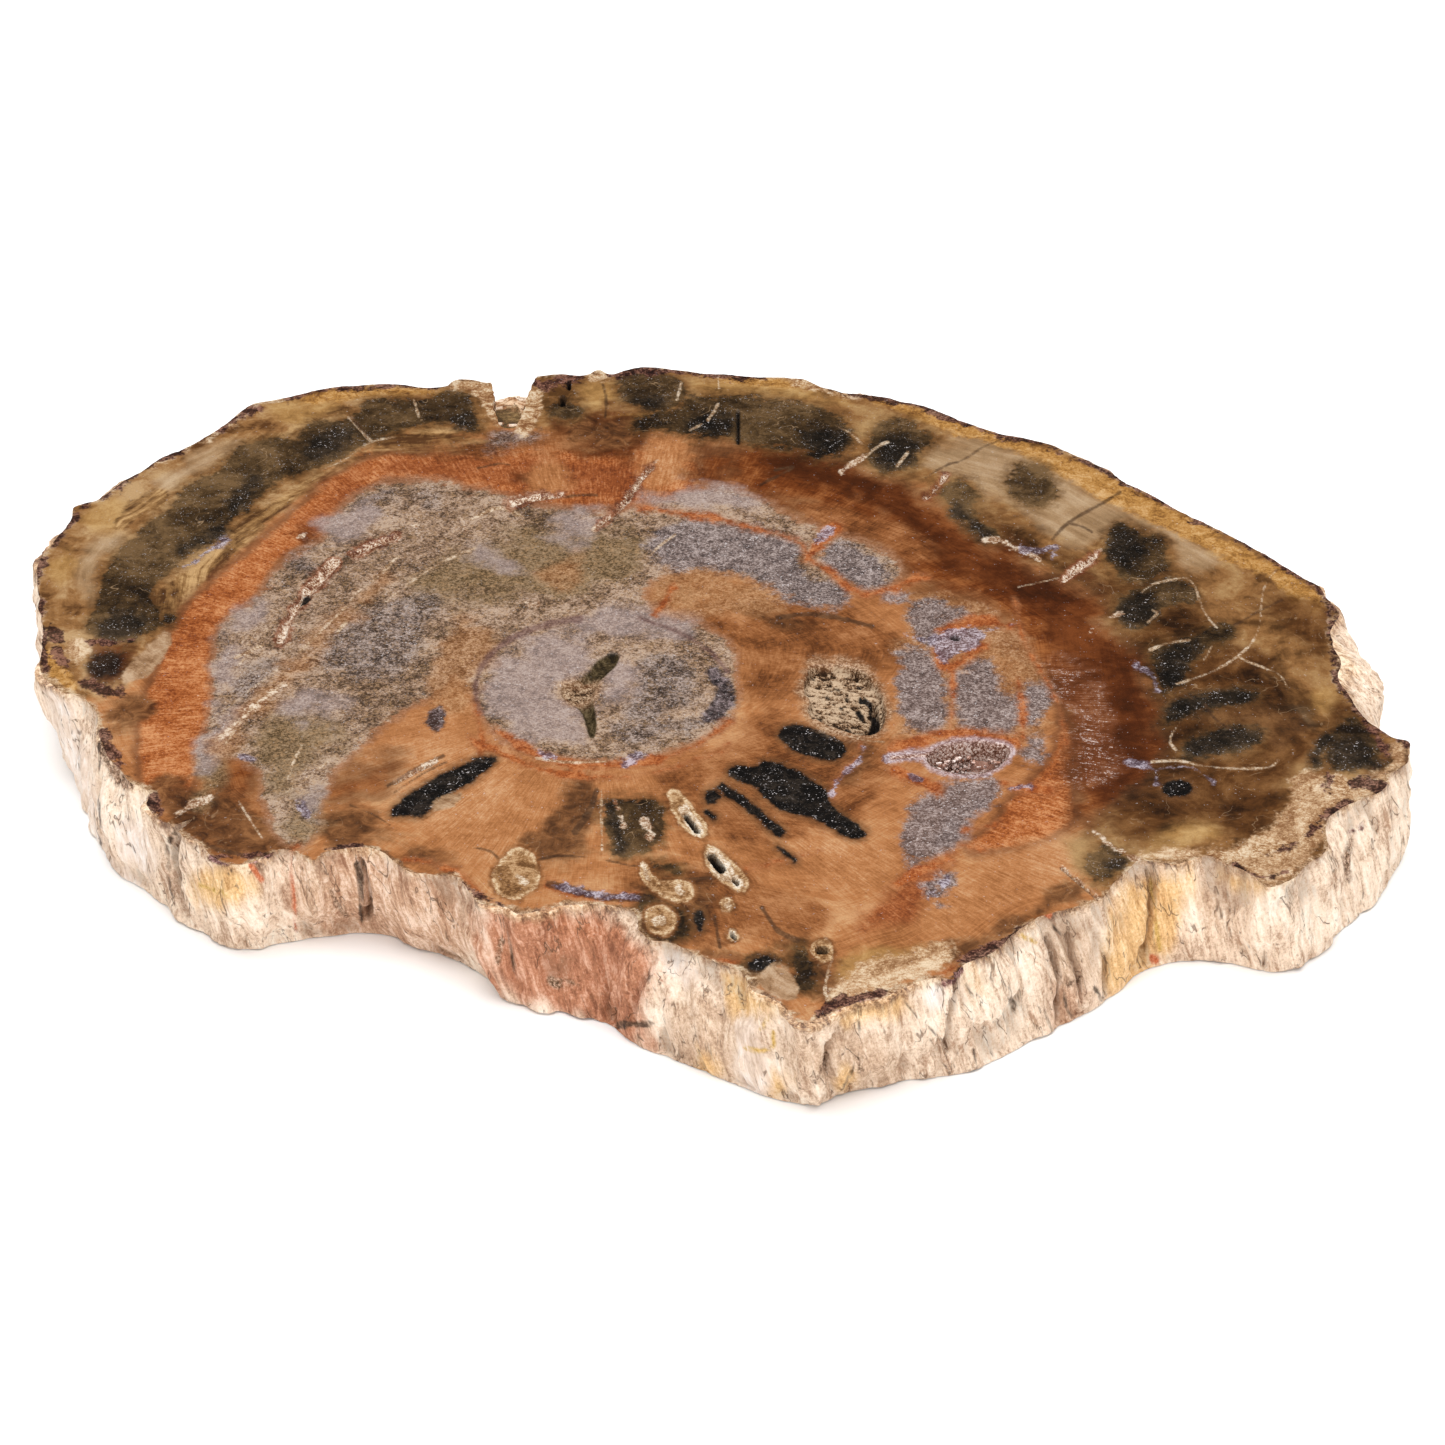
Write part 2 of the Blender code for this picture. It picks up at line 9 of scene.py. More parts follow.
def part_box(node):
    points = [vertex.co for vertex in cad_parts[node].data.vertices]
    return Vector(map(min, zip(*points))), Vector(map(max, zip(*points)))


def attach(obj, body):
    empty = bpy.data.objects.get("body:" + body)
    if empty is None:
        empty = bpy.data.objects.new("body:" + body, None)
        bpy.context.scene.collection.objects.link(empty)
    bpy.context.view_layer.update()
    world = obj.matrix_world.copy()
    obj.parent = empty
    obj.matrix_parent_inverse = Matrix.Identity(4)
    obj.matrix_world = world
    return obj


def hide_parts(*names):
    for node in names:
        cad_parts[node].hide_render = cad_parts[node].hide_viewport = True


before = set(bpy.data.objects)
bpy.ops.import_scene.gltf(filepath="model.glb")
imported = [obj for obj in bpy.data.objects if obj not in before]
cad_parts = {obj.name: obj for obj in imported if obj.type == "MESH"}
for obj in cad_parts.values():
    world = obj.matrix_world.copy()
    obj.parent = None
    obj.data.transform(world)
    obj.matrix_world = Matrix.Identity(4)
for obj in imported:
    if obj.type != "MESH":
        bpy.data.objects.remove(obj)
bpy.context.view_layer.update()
mm = 0.001

# Camera of the photograph: everything that is placed in pixels below is in its pixels.
camera = {
    "target": Vector((0.005485, -0.03033, 0.025)),
    "distance": 0.87503,
    "elevation": math.radians(32),
    "lens": 100,
    "sensor": 36,
    "pixels": 1445,
    "pixelsPerMm": 4.6,
}

slab = {
    "thickness": 25 * mm,
    "shift": (3.485, 0.670),
    "stationSpacing": 0.82 * mm,
    "levels": (0, .02, .05, .09, .14, .19, .24, .29, .34, .39, .44, .49, .54, .59, .64, .69, .74, .79,
               .84, .89, .93, .96, .985, 1),
    "belly": 1 * mm,
    "fluteDepth": .95 * mm,
    "fluteWidth": 8 * mm,
    "fluteStretch": 6,
    "stepDepth": .5 * mm,
    "stepSize": 11 * mm,
    "stepSharpness": 8,
    "lumpDepth": 1.2 * mm,
    "lumpSize": 24 * mm,
    "grainSlant": .18,
    "rimCalm": .3,
    "edgeBand": .05,
    "footSmoothing": 3.5 * mm,
    "footShare": .9,
    "seed": Vector((3.7, 9.1, 5.3)),
    "fibreDepth": .55 * mm,
    "fibreWidth": 1.7 * mm,
    "fibreStretch": 9,
    "chipDepth": .45 * mm,
    "chipSize": 3.2 * mm,
    "faceSpacing": 1.5 * mm,
    "baseSpacing": 7 * mm,
    "detailWidth": 7,
    "detailReach": 3.5,
    "detailCuts": 2,
    "sharpFrom": math.radians(48),
    "backFrom": .25,
    "pith": (602, 690),
    "rimCrust": 1.1,
}
markReach = 40  # how far round a marking its distance is kept, in pixels
flatGap = 1e-7  # how far a height may be off a flat face, in metres
waveFrom = 9  # how soft a layer's edge is, in pixels, when broad noise moves it and not the fine one

# Rim of the polished face, clockwise from the notch, in mm: x, y, how far the foot stands outside it.
rimPoints = [
    (-45.5, 134, 1), (-39, 135.5, 1), (-33, 135, 1), (-29.5, 138, 0), (-26, 135.5, 0), (-19, 139.5, 0),
    (-11, 138, 1), (0, 135.5, 2), (12.5, 134, 2), (21.5, 133, 2), (27, 128.5, 4), (34, 124.5, 5),
    (41.5, 123, 4), (46.5, 120.5, 3), (54, 117, 2), (61, 110.5, 3), (70.5, 103.5, 3), (80, 99, 2),
    (87, 92.5, 1), (93.5, 86, 1), (99, 78.5, 0), (105.5, 71, 0), (111, 64.5, 0), (117.5, 57, 1),
    (123.5, 50, 1), (130, 42, 1), (136, 33, 2), (139, 28.5, 2), (141, 21, 3), (142.5, 15, 3),
    (140, 8.5, 5), (139.5, -0.5, 6), (140, -7, 6), (138.5, -12, 7), (140.5, -19.5, 5), (142, -26.5, 4),
    (145, -33, 3), (148, -37, 2), (151, -39.5, 1), (149, -48, 1), (144.5, -52, 3), (142.5, -58, 3),
    (138, -61.5, 4), (133, -65, 6), (129, -70.5, 6), (127.5, -81, 1), (123, -86.5, 0), (120, -91, -2),
    (116, -94, -3), (113, -94.5, -5), (111, -91, -4), (108.5, -88.5, -3), (105, -85.5, -1), (101.5, -83.5, 1),
    (95.5, -86, 1), (88.5, -85.5, 2), (86, -88.5, 4), (83, -92.5, 3), (80.5, -97.5, 2), (78, -100, 3),
    (73.5, -102.5, 4), (68.5, -104.5, 5), (65, -106.5, 5), (62, -110, 4), (58.5, -115, 3), (55.5, -118.5, 4),
    (50, -122, 2), (48, -127, -1), (45, -126.5, -1), (41, -127.5, -1), (37, -130, -3), (33, -133, -5),
    (29.5, -133.5, -4), (24, -137, -4), (21, -139, -5), (17, -140.5, -5), (14, -135.5, -2), (11, -132.5, 0),
    (8, -130.5, 1), (6.5, -126.5, 3), (4.5, -123.5, 4), (0.5, -121.5, 3), (-5.5, -117, 4), (-9.5, -114.5, 4),
    (-13, -113.5, 3), (-15, -110, 4), (-16.5, -103.5, 6), (-23, -101, 5), (-31, -101, 2), (-38.5, -104, -2),
    (-42, -101.5, -2), (-46.5, -100.5, -4), (-49, -98, -5), (-53, -91, -5), (-58, -90.5, -6), (-62.5, -89, -7),
    (-65.5, -85.5, -7), (-69, -81.5, -6), (-72, -80, -5), (-76, -80.5, -6), (-80.5, -82.5, -6),
    (-82.5, -85, -7), (-89, -81, -4), (-95.5, -85.5, -3), (-98.5, -86.5, -4), (-103, -84.5, -4),
    (-106.5, -78.5, -2), (-111, -75.5, -2), (-113.5, -71.5, -2), (-116.5, -69.5, -2), (-119, -64, -1),
    (-120, -58.5, 2), (-124, -55, 3), (-127.5, -49.5, 3), (-131, -43, 3), (-133, -36, 3), (-135, -28, 4),
    (-137.5, -23, 3), (-141, -19.5, 0), (-143.5, -18.5, -2), (-146.5, -14.5, -4), (-149, -10, -5),
    (-151, -2.5, -4), (-152.5, 8.5, -3), (-154.5, 19.5, -2), (-156.5, 31, -2), (-157, 37.5, -2),
    (-156, 44, -2), (-154.5, 49.5, -1), (-153.5, 55, 0), (-152.5, 61.5, 0), (-153, 65.5, 0), (-150.5, 68, 1),
    (-147, 70, 2), (-142, 79, 3), (-135, 90.5, 4), (-130.5, 95, 4), (-126.5, 100, 3), (-122, 106.5, 2),
    (-119, 113.5, 1), (-115.5, 119.5, 0), (-108.5, 122, 1), (-98, 128, 1), (-89.5, 129, 1), (-82, 130, 1),
    (-70, 128, 1), (-65.5, 132, 0), (-62, 132.5, 0), (-57, 131, 0), (-51, 133, 0),
]

# Open cracks down the bark: place on the rim, width, depth, lowest and highest height, in mm.
barkCracks = [
    ((-113.5, -72), 2.4, 6, 3, 26), ((-131, -43), 1.4, 2.5, 9, 24), ((-73, -80), 1.8, 3.5, 4, 22),
    ((-13, -113.5), 2.4, 2.5, 4, 22), ((24, -137), 2.6, 2, 2, 23), ((48.5, -126.5), 2, 2, 6, 26),
    ((60, -113), 1.6, 2, 8, 22), ((68.5, -104.5), 1.6, 2.5, 1, 20), ((73.5, -102.5), 1.8, 2.5, 3, 20),
    ((79.5, -98.5), 1.6, 2, 2, 12), ((90, -85.5), 2.2, 3, 3, 23), ((127.5, -81), 1.8, 2, 6, 20),
    ((143, 15), 2.4, 2.5, 2, 22), ((87, 92.5), 2.2, 2.5, 2, 21), ((34, 124.5), 2.4, 2.5, 3, 22),
    ((-19, 139.5), 2, 2.5, 2, 23), ((-82, 130), 2.2, 3, 2, 22), ((-130.5, 95), 2.4, 2.5, 3, 23),
    ((-152.5, 61.5), 1.8, 2, 2, 22),
]

# How the cracks run: their wander in widths and its wave, how their ends fade, and their sides in widths.
crackShape = {
    "wander": .5,
    "wave": 4 * mm,
    "ends": (1 * mm, 2 * mm),
    "sides": (.1, .6),
}

# A shoulder of bark that swells out under the rim: its middle in mm, its reach along the rim and its size.
shoulder = {
    "place": (139.7, -5),
    "reach": 31 * mm,
    "size": 7.5 * mm,
    "ends": 1.5,
    "rise": .25,
    "curve": .7,
    "fade": .8,
    "foot": .1,
}

notch = {
    "plan": [(-57.5, 138), (-55.5, 127), (-55, 118.5), (-54, 111), (-52.5, 106.5), (-49.5, 105.5),
             (-48.5, 110.5), (-47.5, 117), (-46.5, 127), (-44.5, 138)],
    "ledge": 19 * mm,
    "rise": 3 * mm,
    "rough": .7 * mm,
    "lumps": (2.2 * mm, 6 * mm),
    "longest": 1.2 * mm,
    "taper": (1.06, .16),
    "layers": 9,
    "seed": 7,
}


# The camera's place, the sine and cosine of its elevation, and its focal length in pixels.
def cameraView():
    up, level = math.sin(camera["elevation"]), math.cos(camera["elevation"])
    eye = camera["target"] + camera["distance"] * Vector((0, -level, up))
    return eye, up, level, camera["pixels"] * camera["lens"] / camera["sensor"]


# Pixels of the photograph where points of the slab are seen.
def photoPlaces(x, y, z):
    eye, up, level, focal = cameraView()
    dx, dy, dz = x - eye.x, y - eye.y, z - eye.z
    depth = dy * level - dz * up
    half = camera["pixels"] / 2
    return np.stack([half + focal * dx / depth, half - focal * (dy * up + dz * level) / depth], axis=1)


# Cuts the corners of a line so that it runs smoothly.
def rounded(points, closed, times=2):
    line = np.array(points, float)
    for _ in range(times):
        ahead = np.roll(line, -1, axis=0) if closed else line[1:]
        start = line if closed else line[:-1]
        cut = np.stack([start * .75 + ahead * .25, start * .25 + ahead * .75], axis=1).reshape(-1, 2)
        line = cut if closed else np.vstack([line[:1], cut, line[-1:]])
    return line


# Distance from each place to a line; inside a closed one it is positive, outside negative.
def lineGap(places, line, closed):
    gap = np.full(len(places), 1e9)
    inside = np.zeros(len(places), bool)
    ends = np.roll(line, -1, axis=0) if closed else line[1:]
    for start, end in zip(line, ends):
        along = end - start
        off = places - start
        share = np.clip(off @ along / max(along @ along, 1e-12), 0, 1)
        gap = np.minimum(gap, np.hypot(off[:, 0] - share * along[0], off[:, 1] - share * along[1]))
        if closed and along[1]:
            crossed = (start[1] > places[:, 1]) != (end[1] > places[:, 1])
            reached = off[:, 1] / along[1] * along[0] + start[0]
            inside ^= crossed & (places[:, 0] < reached)
    return np.where(inside, gap, -gap)


# How deep each place lies in the nearest of the shapes, from -1 to 1 over the reach in pixels.
def markField(places, shapes, reach):
    field = np.full(len(places), -reach, float)
    for width, *numbers in shapes:
        closed = width == 0
        line = np.reshape(numbers, (-1, 2)).astype(float)
        if len(line) > 2:
            line = rounded(line, closed)
        pad = reach + width
        near = np.all((places > line.min(0) - pad) & (places < line.max(0) + pad), axis=1)
        if near.any():
            gap = lineGap(places[near], line, closed)
            field[near] = np.maximum(field[near], gap + width / 2)
    return np.clip(field / reach, -1, 1)


def curvePoint(before, start, end, after, t):
    return [.5 * (2 * b + (c - a) * t + (2 * a - 5 * b + 4 * c - d) * t * t
                  + (3 * b - a - 3 * c + d) * t ** 3) for a, b, c, d in zip(before, start, end, after)]


# The rim as an array of x, y and lean in metres, and the distance along it.
def traceRim():
    count = len(rimPoints)
    fine = []
    for i in range(count):
        around = [rimPoints[(i + k) % count] for k in (-1, 0, 1, 2)]
        fine += [curvePoint(*around, step / 8) for step in range(8)]
    fine = np.array(fine) * mm
    closed = np.vstack([fine, fine[:1]])
    steps = np.hypot(*np.diff(closed[:, :2], axis=0).T)
    return closed, np.concatenate([[0], np.cumsum(steps)])


def rimAt(closed, travelled, distance):
    return np.stack([np.interp(distance % travelled[-1], travelled, closed[:, k]) for k in range(3)], axis=-1)


# How far along the rim the point nearest to a place in mm is.
def nearestDistance(closed, travelled, place):
    gap = np.hypot(closed[:-1, 0] - place[0] * mm, closed[:-1, 1] - place[1] * mm)
    return travelled[gap.argmin()]


# How far the bark stands out: plates and grooves, broken steps, broad lumps, then fibres and chips.
def barkRelief(x, y, height, share):
    s = slab
    along = (x + height * s["grainSlant"]) / s["fluteWidth"]
    upright = height / (s["fluteWidth"] * s["fluteStretch"])
    groove = abs(noise.noise(Vector((along, y / s["fluteWidth"], upright)) + s["seed"]))
    step = noise.noise(Vector((x, y, height / .8)) / s["stepSize"] + s["seed"] * 2)
    lump = noise.noise(Vector((x, y, height / .6)) / s["lumpSize"] - s["seed"])
    relief = (groove * 3 - .8) * s["fluteDepth"] + lump * 1.6 * s["lumpDepth"]
    relief += s["stepDepth"] * max(-1, min(1, step * s["stepSharpness"]))
    slanted = x + height * s["grainSlant"] * (1.4 if y < 0 else .6)
    fibre = abs(noise.noise(Vector((slanted, y, height / s["fibreStretch"])) / s["fibreWidth"] + s["seed"]))
    chip = noise.noise(Vector((x, y, height / 1.8)) / s["chipSize"] - s["seed"] * 3)
    fine = (fibre * 2.4 - .7) * s["fibreDepth"] + max(-.6, min(.6, chip * 2)) * s["chipDepth"]
    calm = s["rimCalm"] if share in (0, 1) else 1
    edge = min(1, share / s["edgeBand"], (1 - share) / s["edgeBand"])
    return relief * calm + fine * (.25 + .75 * edge)


# How far the shoulder stands out, at distances along the rim from its middle and a share of the height.
def shoulderRelief(aside, share):
    along = np.maximum(0, 1 - (aside / shoulder["reach"]) ** 2) ** shoulder["ends"]
    swell = min(1, (1 - share) / shoulder["rise"]) ** shoulder["curve"]
    fade = shoulder["foot"] + (1 - shoulder["foot"]) * min(1, share / shoulder["fade"])
    return shoulder["size"] * along * swell * fade


# A tube of rings one above the other, all rings' points in the same order.
def stackedRings(bm, sides, levels):
    ring = bmesh.ops.create_circle(bm, cap_ends=False, radius=1, segments=sides)["verts"]
    rings = [ring]
    edges = list(dict.fromkeys(e for v in ring for e in v.link_edges))
    for _ in range(levels - 1):
        grown = bmesh.ops.extrude_edge_only(bm, edges=edges)["geom"]
        made = {g for g in grown if isinstance(g, bmesh.types.BMVert)}
        above = [next(e.other_vert(v) for e in v.link_edges if e.other_vert(v) in made) for v in rings[-1]]
        rings.append(above)
        edges = [g for g in grown if isinstance(g, bmesh.types.BMEdge) and all(v in made for v in g.verts)]
    return rings


# Whether a point of a grid hangs on it by an edge or a corner only.
def hangsLoose(v):
    openEdges = sum(e.is_boundary for e in v.link_edges)
    return not v.link_faces or openEdges > 2 or any(e.is_wire for e in v.link_edges)


# Closes a ring with a square grid of the given spacing, joined to the ring by a band of triangles.
def fillWithGrid(bm, ring, spacing, height):
    outline = np.array([v.co.to_2d() for v in ring])
    low, high = outline.min(0), outline.max(0)
    middle, half = (low + high) / 2, (high - low) / 2
    counts = [round(2 * h / spacing) for h in half]
    grid = bmesh.ops.create_grid(bm, x_segments=counts[0], y_segments=counts[1], size=1)["verts"]
    for v in grid:
        v.co = (middle[0] + v.co.x * half[0], middle[1] + v.co.y * half[1], height)
    places = np.array([v.co.to_2d() for v in grid])
    inner = lineGap(places, outline, True)
    bmesh.ops.delete(bm, geom=[v for v, gap in zip(grid, inner) if gap < spacing * .9], context="VERTS")
    grid = [v for v in grid if v.is_valid]
    while True:
        loose = [v for v in grid if v.is_valid and hangsLoose(v)]
        if not loose:
            break
        bmesh.ops.delete(bm, geom=loose, context="VERTS")
    grid = [v for v in grid if v.is_valid]
    inGrid, inRing = set(grid), set(ring)
    edges = [e for v in grid for e in v.link_edges if e.is_boundary]
    edges += [e for v in ring for e in v.link_edges if e.is_boundary and e.other_vert(v) in inRing]
    bmesh.ops.triangle_fill(bm, use_beauty=True, edges=list(dict.fromkeys(edges)), normal=(0, 0, 1))
    return inGrid


# Each layer is a list of shapes in the photograph's pixels, as (width, x, y, x, y, ...): a line of that
# width, or with width 0 the outline of an area.
markings = {
    "ochre": [
        (0, 30, 570, 40, 530, 70, 500, 110, 480, 180, 440, 235, 405, 270, 388, 330, 375, 440, 375, 470, 365,
         497, 380, 500, 438, 440, 436, 400, 440, 370, 447, 345, 462, 318, 482, 290, 505, 262, 528, 240, 548,
         212, 575, 192, 597, 176, 612, 165, 640, 150, 665, 120, 690, 80, 705, 35, 695, 28, 620),
    ],
    "tan": [
        (0, 515, 360, 620, 350, 800, 360, 900, 385, 1000, 415, 1100, 455, 1200, 510, 1300, 560, 1355, 600,
         1390, 680, 1430, 740, 1420, 800, 1350, 850, 1300, 900, 1130, 910, 1085, 885, 1062, 850, 1090, 815,
         1130, 785, 1150, 745, 1150, 700, 1125, 655, 1098, 620, 1090, 590, 1060, 582, 1040, 572, 1010, 550,
         985, 545, 962, 530, 945, 505, 925, 494, 890, 482, 850, 466, 820, 452, 790, 446, 740, 442, 690, 436,
         640, 430, 600, 425, 560, 430, 520, 436),
    ],
    "goldenBand": [
        (0, 680, 372, 800, 376, 900, 400, 1000, 432, 1060, 452, 1120, 480, 1200, 522, 1300, 578, 1330, 600,
         1318, 612, 1280, 585, 1200, 545, 1130, 515, 1050, 468, 1000, 446, 940, 428, 900, 412, 850, 392,
         800, 388, 740, 384),
        (0, 1285, 580, 1318, 596, 1320, 625, 1305, 612, 1288, 600),
        (0, 40, 640, 60, 660, 80, 690, 60, 695, 38, 665),
        (0, 330, 385, 440, 388, 470, 396, 440, 398, 380, 394, 330, 402, 290, 402),
        (0, 610, 412, 680, 416, 660, 424, 600, 420),
    ],
    "crustLine": [
        (7, 46, 668, 40, 640, 39, 605, 37, 580, 40, 563, 57, 541, 72, 516, 84, 503, 112, 490, 140, 470,
         180, 450),
        (6, 220, 430, 236, 416, 260, 408), (5, 290, 397, 325, 389, 360, 387, 395, 384, 437, 388),
        (9, 533, 380, 545, 388, 560, 378, 583, 376), (6, 612, 375, 640, 368, 670, 371, 715, 375, 765, 378),
        (6, 840, 390, 880, 398, 930, 408), (6, 940, 414, 960, 421, 1000, 436),
        (5, 1000, 434, 1040, 443, 1070, 455, 1100, 468, 1140, 491, 1180, 511, 1240, 541, 1290, 570,
         1318, 590),
        (8, 1308, 580, 1322, 590, 1332, 604, 1339, 616), (8, 1332, 628, 1334, 646, 1337, 660, 1337, 672),
        (10, 1340, 678, 1347, 688, 1357, 704, 1368, 719), (8, 1368, 719, 1380, 729, 1395, 737, 1410, 742),
        (7, 1364, 722, 1376, 734, 1384, 748, 1388, 760), (10, 1328, 776, 1327, 792),
        (12, 1352, 782, 1368, 780, 1384, 788), (5, 1312, 828, 1324, 816, 1340, 806, 1352, 802),
        (4, 1262, 858, 1290, 846, 1320, 826), (3, 1236, 864, 1262, 880, 1286, 872), (4, 1330, 812, 1338, 822),
        (9, 50, 626, 62, 640, 54, 650, 66, 664), (8, 84, 682, 98, 690, 124, 694),
        (4, 92, 640, 112, 645, 140, 636), (12, 104, 735, 110, 752, 128, 774), (10, 152, 800, 160, 814),
        (7, 212, 856, 262, 856), (7, 818, 1013, 838, 1003, 880, 994), (7, 946, 984, 960, 970),
        (5, 315, 856, 345, 848, 365, 844), (5, 460, 884, 480, 898, 505, 905),
        (6, 960, 962, 1005, 942, 1040, 918),
    ],
    "redBack": [
        (0, 850, 932, 872, 905, 885, 888, 915, 872, 945, 855, 962, 852, 938, 880, 925, 905, 922, 930,
         885, 930),
        (0, 1020, 560, 1045, 585, 1060, 620, 1050, 640, 1030, 610, 1015, 580),
        (0, 380, 470, 400, 456, 470, 454, 560, 452, 640, 460, 640, 500, 560, 505, 520, 492, 470, 480,
         400, 476),
        (0, 300, 520, 330, 495, 360, 470, 375, 475, 345, 505, 320, 538, 300, 540),
        (0, 470, 520, 530, 512, 530, 522, 490, 532), (0, 450, 512, 475, 514, 468, 528, 450, 524),
    ],
    "umber": [
        (0, 1088, 585, 1120, 575, 1170, 575, 1200, 600, 1215, 625, 1235, 640, 1262, 655, 1290, 690, 1330, 735,
         1320, 765, 1285, 775, 1290, 800, 1262, 812, 1215, 808, 1180, 830, 1150, 848, 1115, 835, 1100, 802,
         1150, 762, 1158, 700, 1130, 650, 1098, 612),
        (0, 1212, 805, 1235, 775, 1280, 775, 1297, 790, 1290, 815, 1270, 832, 1248, 842, 1225, 834),
        (0, 950, 500, 1000, 505, 1040, 540, 1080, 560, 1095, 575, 1060, 575, 1020, 555, 960, 535),
        (0, 1335, 700, 1362, 712, 1385, 740, 1390, 765, 1355, 770, 1325, 772, 1318, 740),
        (0, 1250, 598, 1300, 592, 1324, 612, 1330, 640, 1322, 668, 1300, 638, 1268, 626),
        (0, 1330, 590, 1345, 610, 1350, 640, 1335, 650, 1325, 610),
    ],
    "ember": [
        (0, 145, 795, 138, 745, 144, 700, 158, 670, 170, 640, 182, 612, 205, 590, 232, 568, 262, 543,
         300, 508, 322, 488, 345, 472, 370, 460, 400, 455, 450, 456, 490, 452, 530, 445, 580, 440, 640, 436,
         700, 446, 720, 470, 705, 500, 650, 505, 600, 510, 560, 506, 520, 498, 480, 490, 440, 480, 400, 478,
         378, 480, 362, 492, 340, 502, 332, 522, 318, 540, 300, 545, 285, 552, 266, 572, 260, 590, 246, 605,
         228, 614, 214, 632, 212, 660, 214, 690, 214, 715, 205, 750, 196, 770, 185, 800, 165, 800),
        (0, 1030, 690, 1050, 680, 1065, 720, 1050, 770, 1010, 800, 990, 830, 960, 850, 1000, 850, 1050, 835,
         1080, 815, 1068, 790, 1075, 740, 1060, 700),
    ],
    "paleOrange": [
        (0, 640, 430, 700, 432, 735, 450, 690, 465, 680, 490, 645, 500, 640, 470),
        (0, 525, 470, 560, 450, 575, 480, 560, 500, 530, 495),
        (0, 318, 790, 350, 760, 400, 718, 425, 690, 470, 690, 480, 715, 520, 748, 580, 768, 640, 768,
         655, 790, 600, 800, 590, 830, 560, 845, 520, 850, 480, 862, 430, 845, 400, 800, 380, 790, 345, 800),
        (0, 790, 845, 820, 830, 860, 845, 895, 835, 900, 870, 870, 890, 820, 882, 795, 862),
        (0, 905, 930, 925, 905, 960, 880, 1000, 850, 1050, 842, 1072, 860, 1055, 885, 1000, 905, 950, 935),
    ],
    "rust": [
        (0, 700, 456, 740, 446, 790, 452, 830, 462, 870, 478, 905, 490, 930, 498, 950, 515, 965, 536,
         990, 546, 1012, 552, 1035, 575, 1060, 584, 1085, 590, 1096, 612, 1102, 632, 1124, 650, 1142, 672,
         1152, 700, 1154, 730, 1150, 760, 1132, 784, 1112, 800, 1095, 812, 1092, 832, 1072, 812, 1086, 790,
         1070, 764, 1084, 738, 1060, 706, 1050, 678, 1022, 660, 1010, 640, 1000, 616, 975, 600, 945, 596,
         925, 582, 905, 565, 888, 548, 862, 538, 835, 528, 800, 508, 760, 495, 725, 480, 700, 478),
        (0, 330, 790, 350, 778, 395, 765, 385, 780, 350, 795, 330, 800),
        (0, 222, 757, 240, 753, 262, 766, 252, 785, 242, 799, 231, 788),
    ],
    "maroon": [
        (0, 760, 450, 830, 462, 890, 482, 930, 505, 960, 540, 1010, 555, 1060, 588, 1088, 598, 1102, 635,
         1130, 660, 1148, 700, 1150, 740, 1135, 775, 1108, 798, 1092, 800, 1100, 770, 1110, 735, 1102, 700,
         1075, 665, 1050, 645, 1035, 612, 1000, 592, 950, 572, 905, 528, 860, 500, 810, 484, 770, 472),
        (0, 554, 414, 600, 406, 644, 412, 652, 432, 642, 454, 604, 464, 566, 458, 550, 436),
        (0, 100, 640, 140, 640, 130, 662, 120, 680, 95, 680, 84, 664), (5, 300, 537, 320, 544, 345, 557),
        (0, 515, 467, 525, 480, 510, 482), (0, 1355, 772, 1392, 775, 1390, 792, 1372, 800, 1358, 792),
        (0, 1322, 770, 1335, 772, 1328, 795, 1318, 788),
    ],
    "softBrown": [
        (0, 430, 442, 480, 436, 560, 432, 640, 424, 640, 440, 560, 452, 480, 456, 430, 456),
        (0, 650, 630, 700, 606, 760, 598, 830, 598, 870, 612, 905, 640, 905, 668, 870, 670, 830, 655,
         805, 668, 790, 700, 745, 705, 742, 670, 720, 645),
        (0, 640, 770, 720, 745, 770, 700, 780, 730, 870, 735, 900, 745, 880, 790, 860, 830, 800, 830,
         760, 850, 700, 850, 660, 800),
        (0, 790, 494, 850, 505, 900, 527, 935, 548, 915, 560, 870, 546, 815, 524),
        (0, 600, 860, 700, 860, 800, 890, 840, 920, 780, 940, 700, 950, 650, 935, 640, 900),
        (0, 160, 800, 240, 790, 300, 790, 310, 850, 240, 860, 180, 840),
    ],
    "brownCloud": [
        (0, 560, 785, 600, 775, 598, 815, 585, 835, 550, 845, 530, 835, 560, 815),
        (0, 150, 770, 200, 790, 240, 800, 300, 830, 290, 850, 240, 862, 190, 845, 160, 820),
        (0, 318, 815, 350, 800, 390, 815, 385, 845, 340, 850, 320, 845),
        (0, 395, 862, 450, 878, 440, 850, 410, 840), (0, 515, 835, 560, 830, 600, 850, 590, 868, 540, 862),
        (0, 105, 700, 140, 690, 150, 715, 125, 735, 105, 722),
        (0, 640, 862, 700, 868, 720, 890, 700, 940, 670, 955, 640, 940, 630, 900),
        (0, 780, 940, 830, 945, 840, 985, 810, 1000, 780, 985), (0, 690, 945, 740, 948, 740, 972, 700, 962),
        (0, 850, 735, 880, 742, 860, 775, 835, 790, 845, 760),
        (0, 940, 955, 1000, 925, 1060, 890, 1085, 880, 1070, 905, 1010, 935, 960, 965),
        (0, 730, 608, 790, 612, 830, 622, 800, 630, 750, 626),
        (0, 562, 422, 600, 414, 636, 420, 640, 440, 604, 452, 570, 446),
    ],
    "frost": [
        (0, 1035, 668, 1060, 660, 1085, 672, 1105, 700, 1118, 735, 1112, 770, 1085, 790, 1060, 785, 1068, 750,
         1066, 715, 1052, 690),
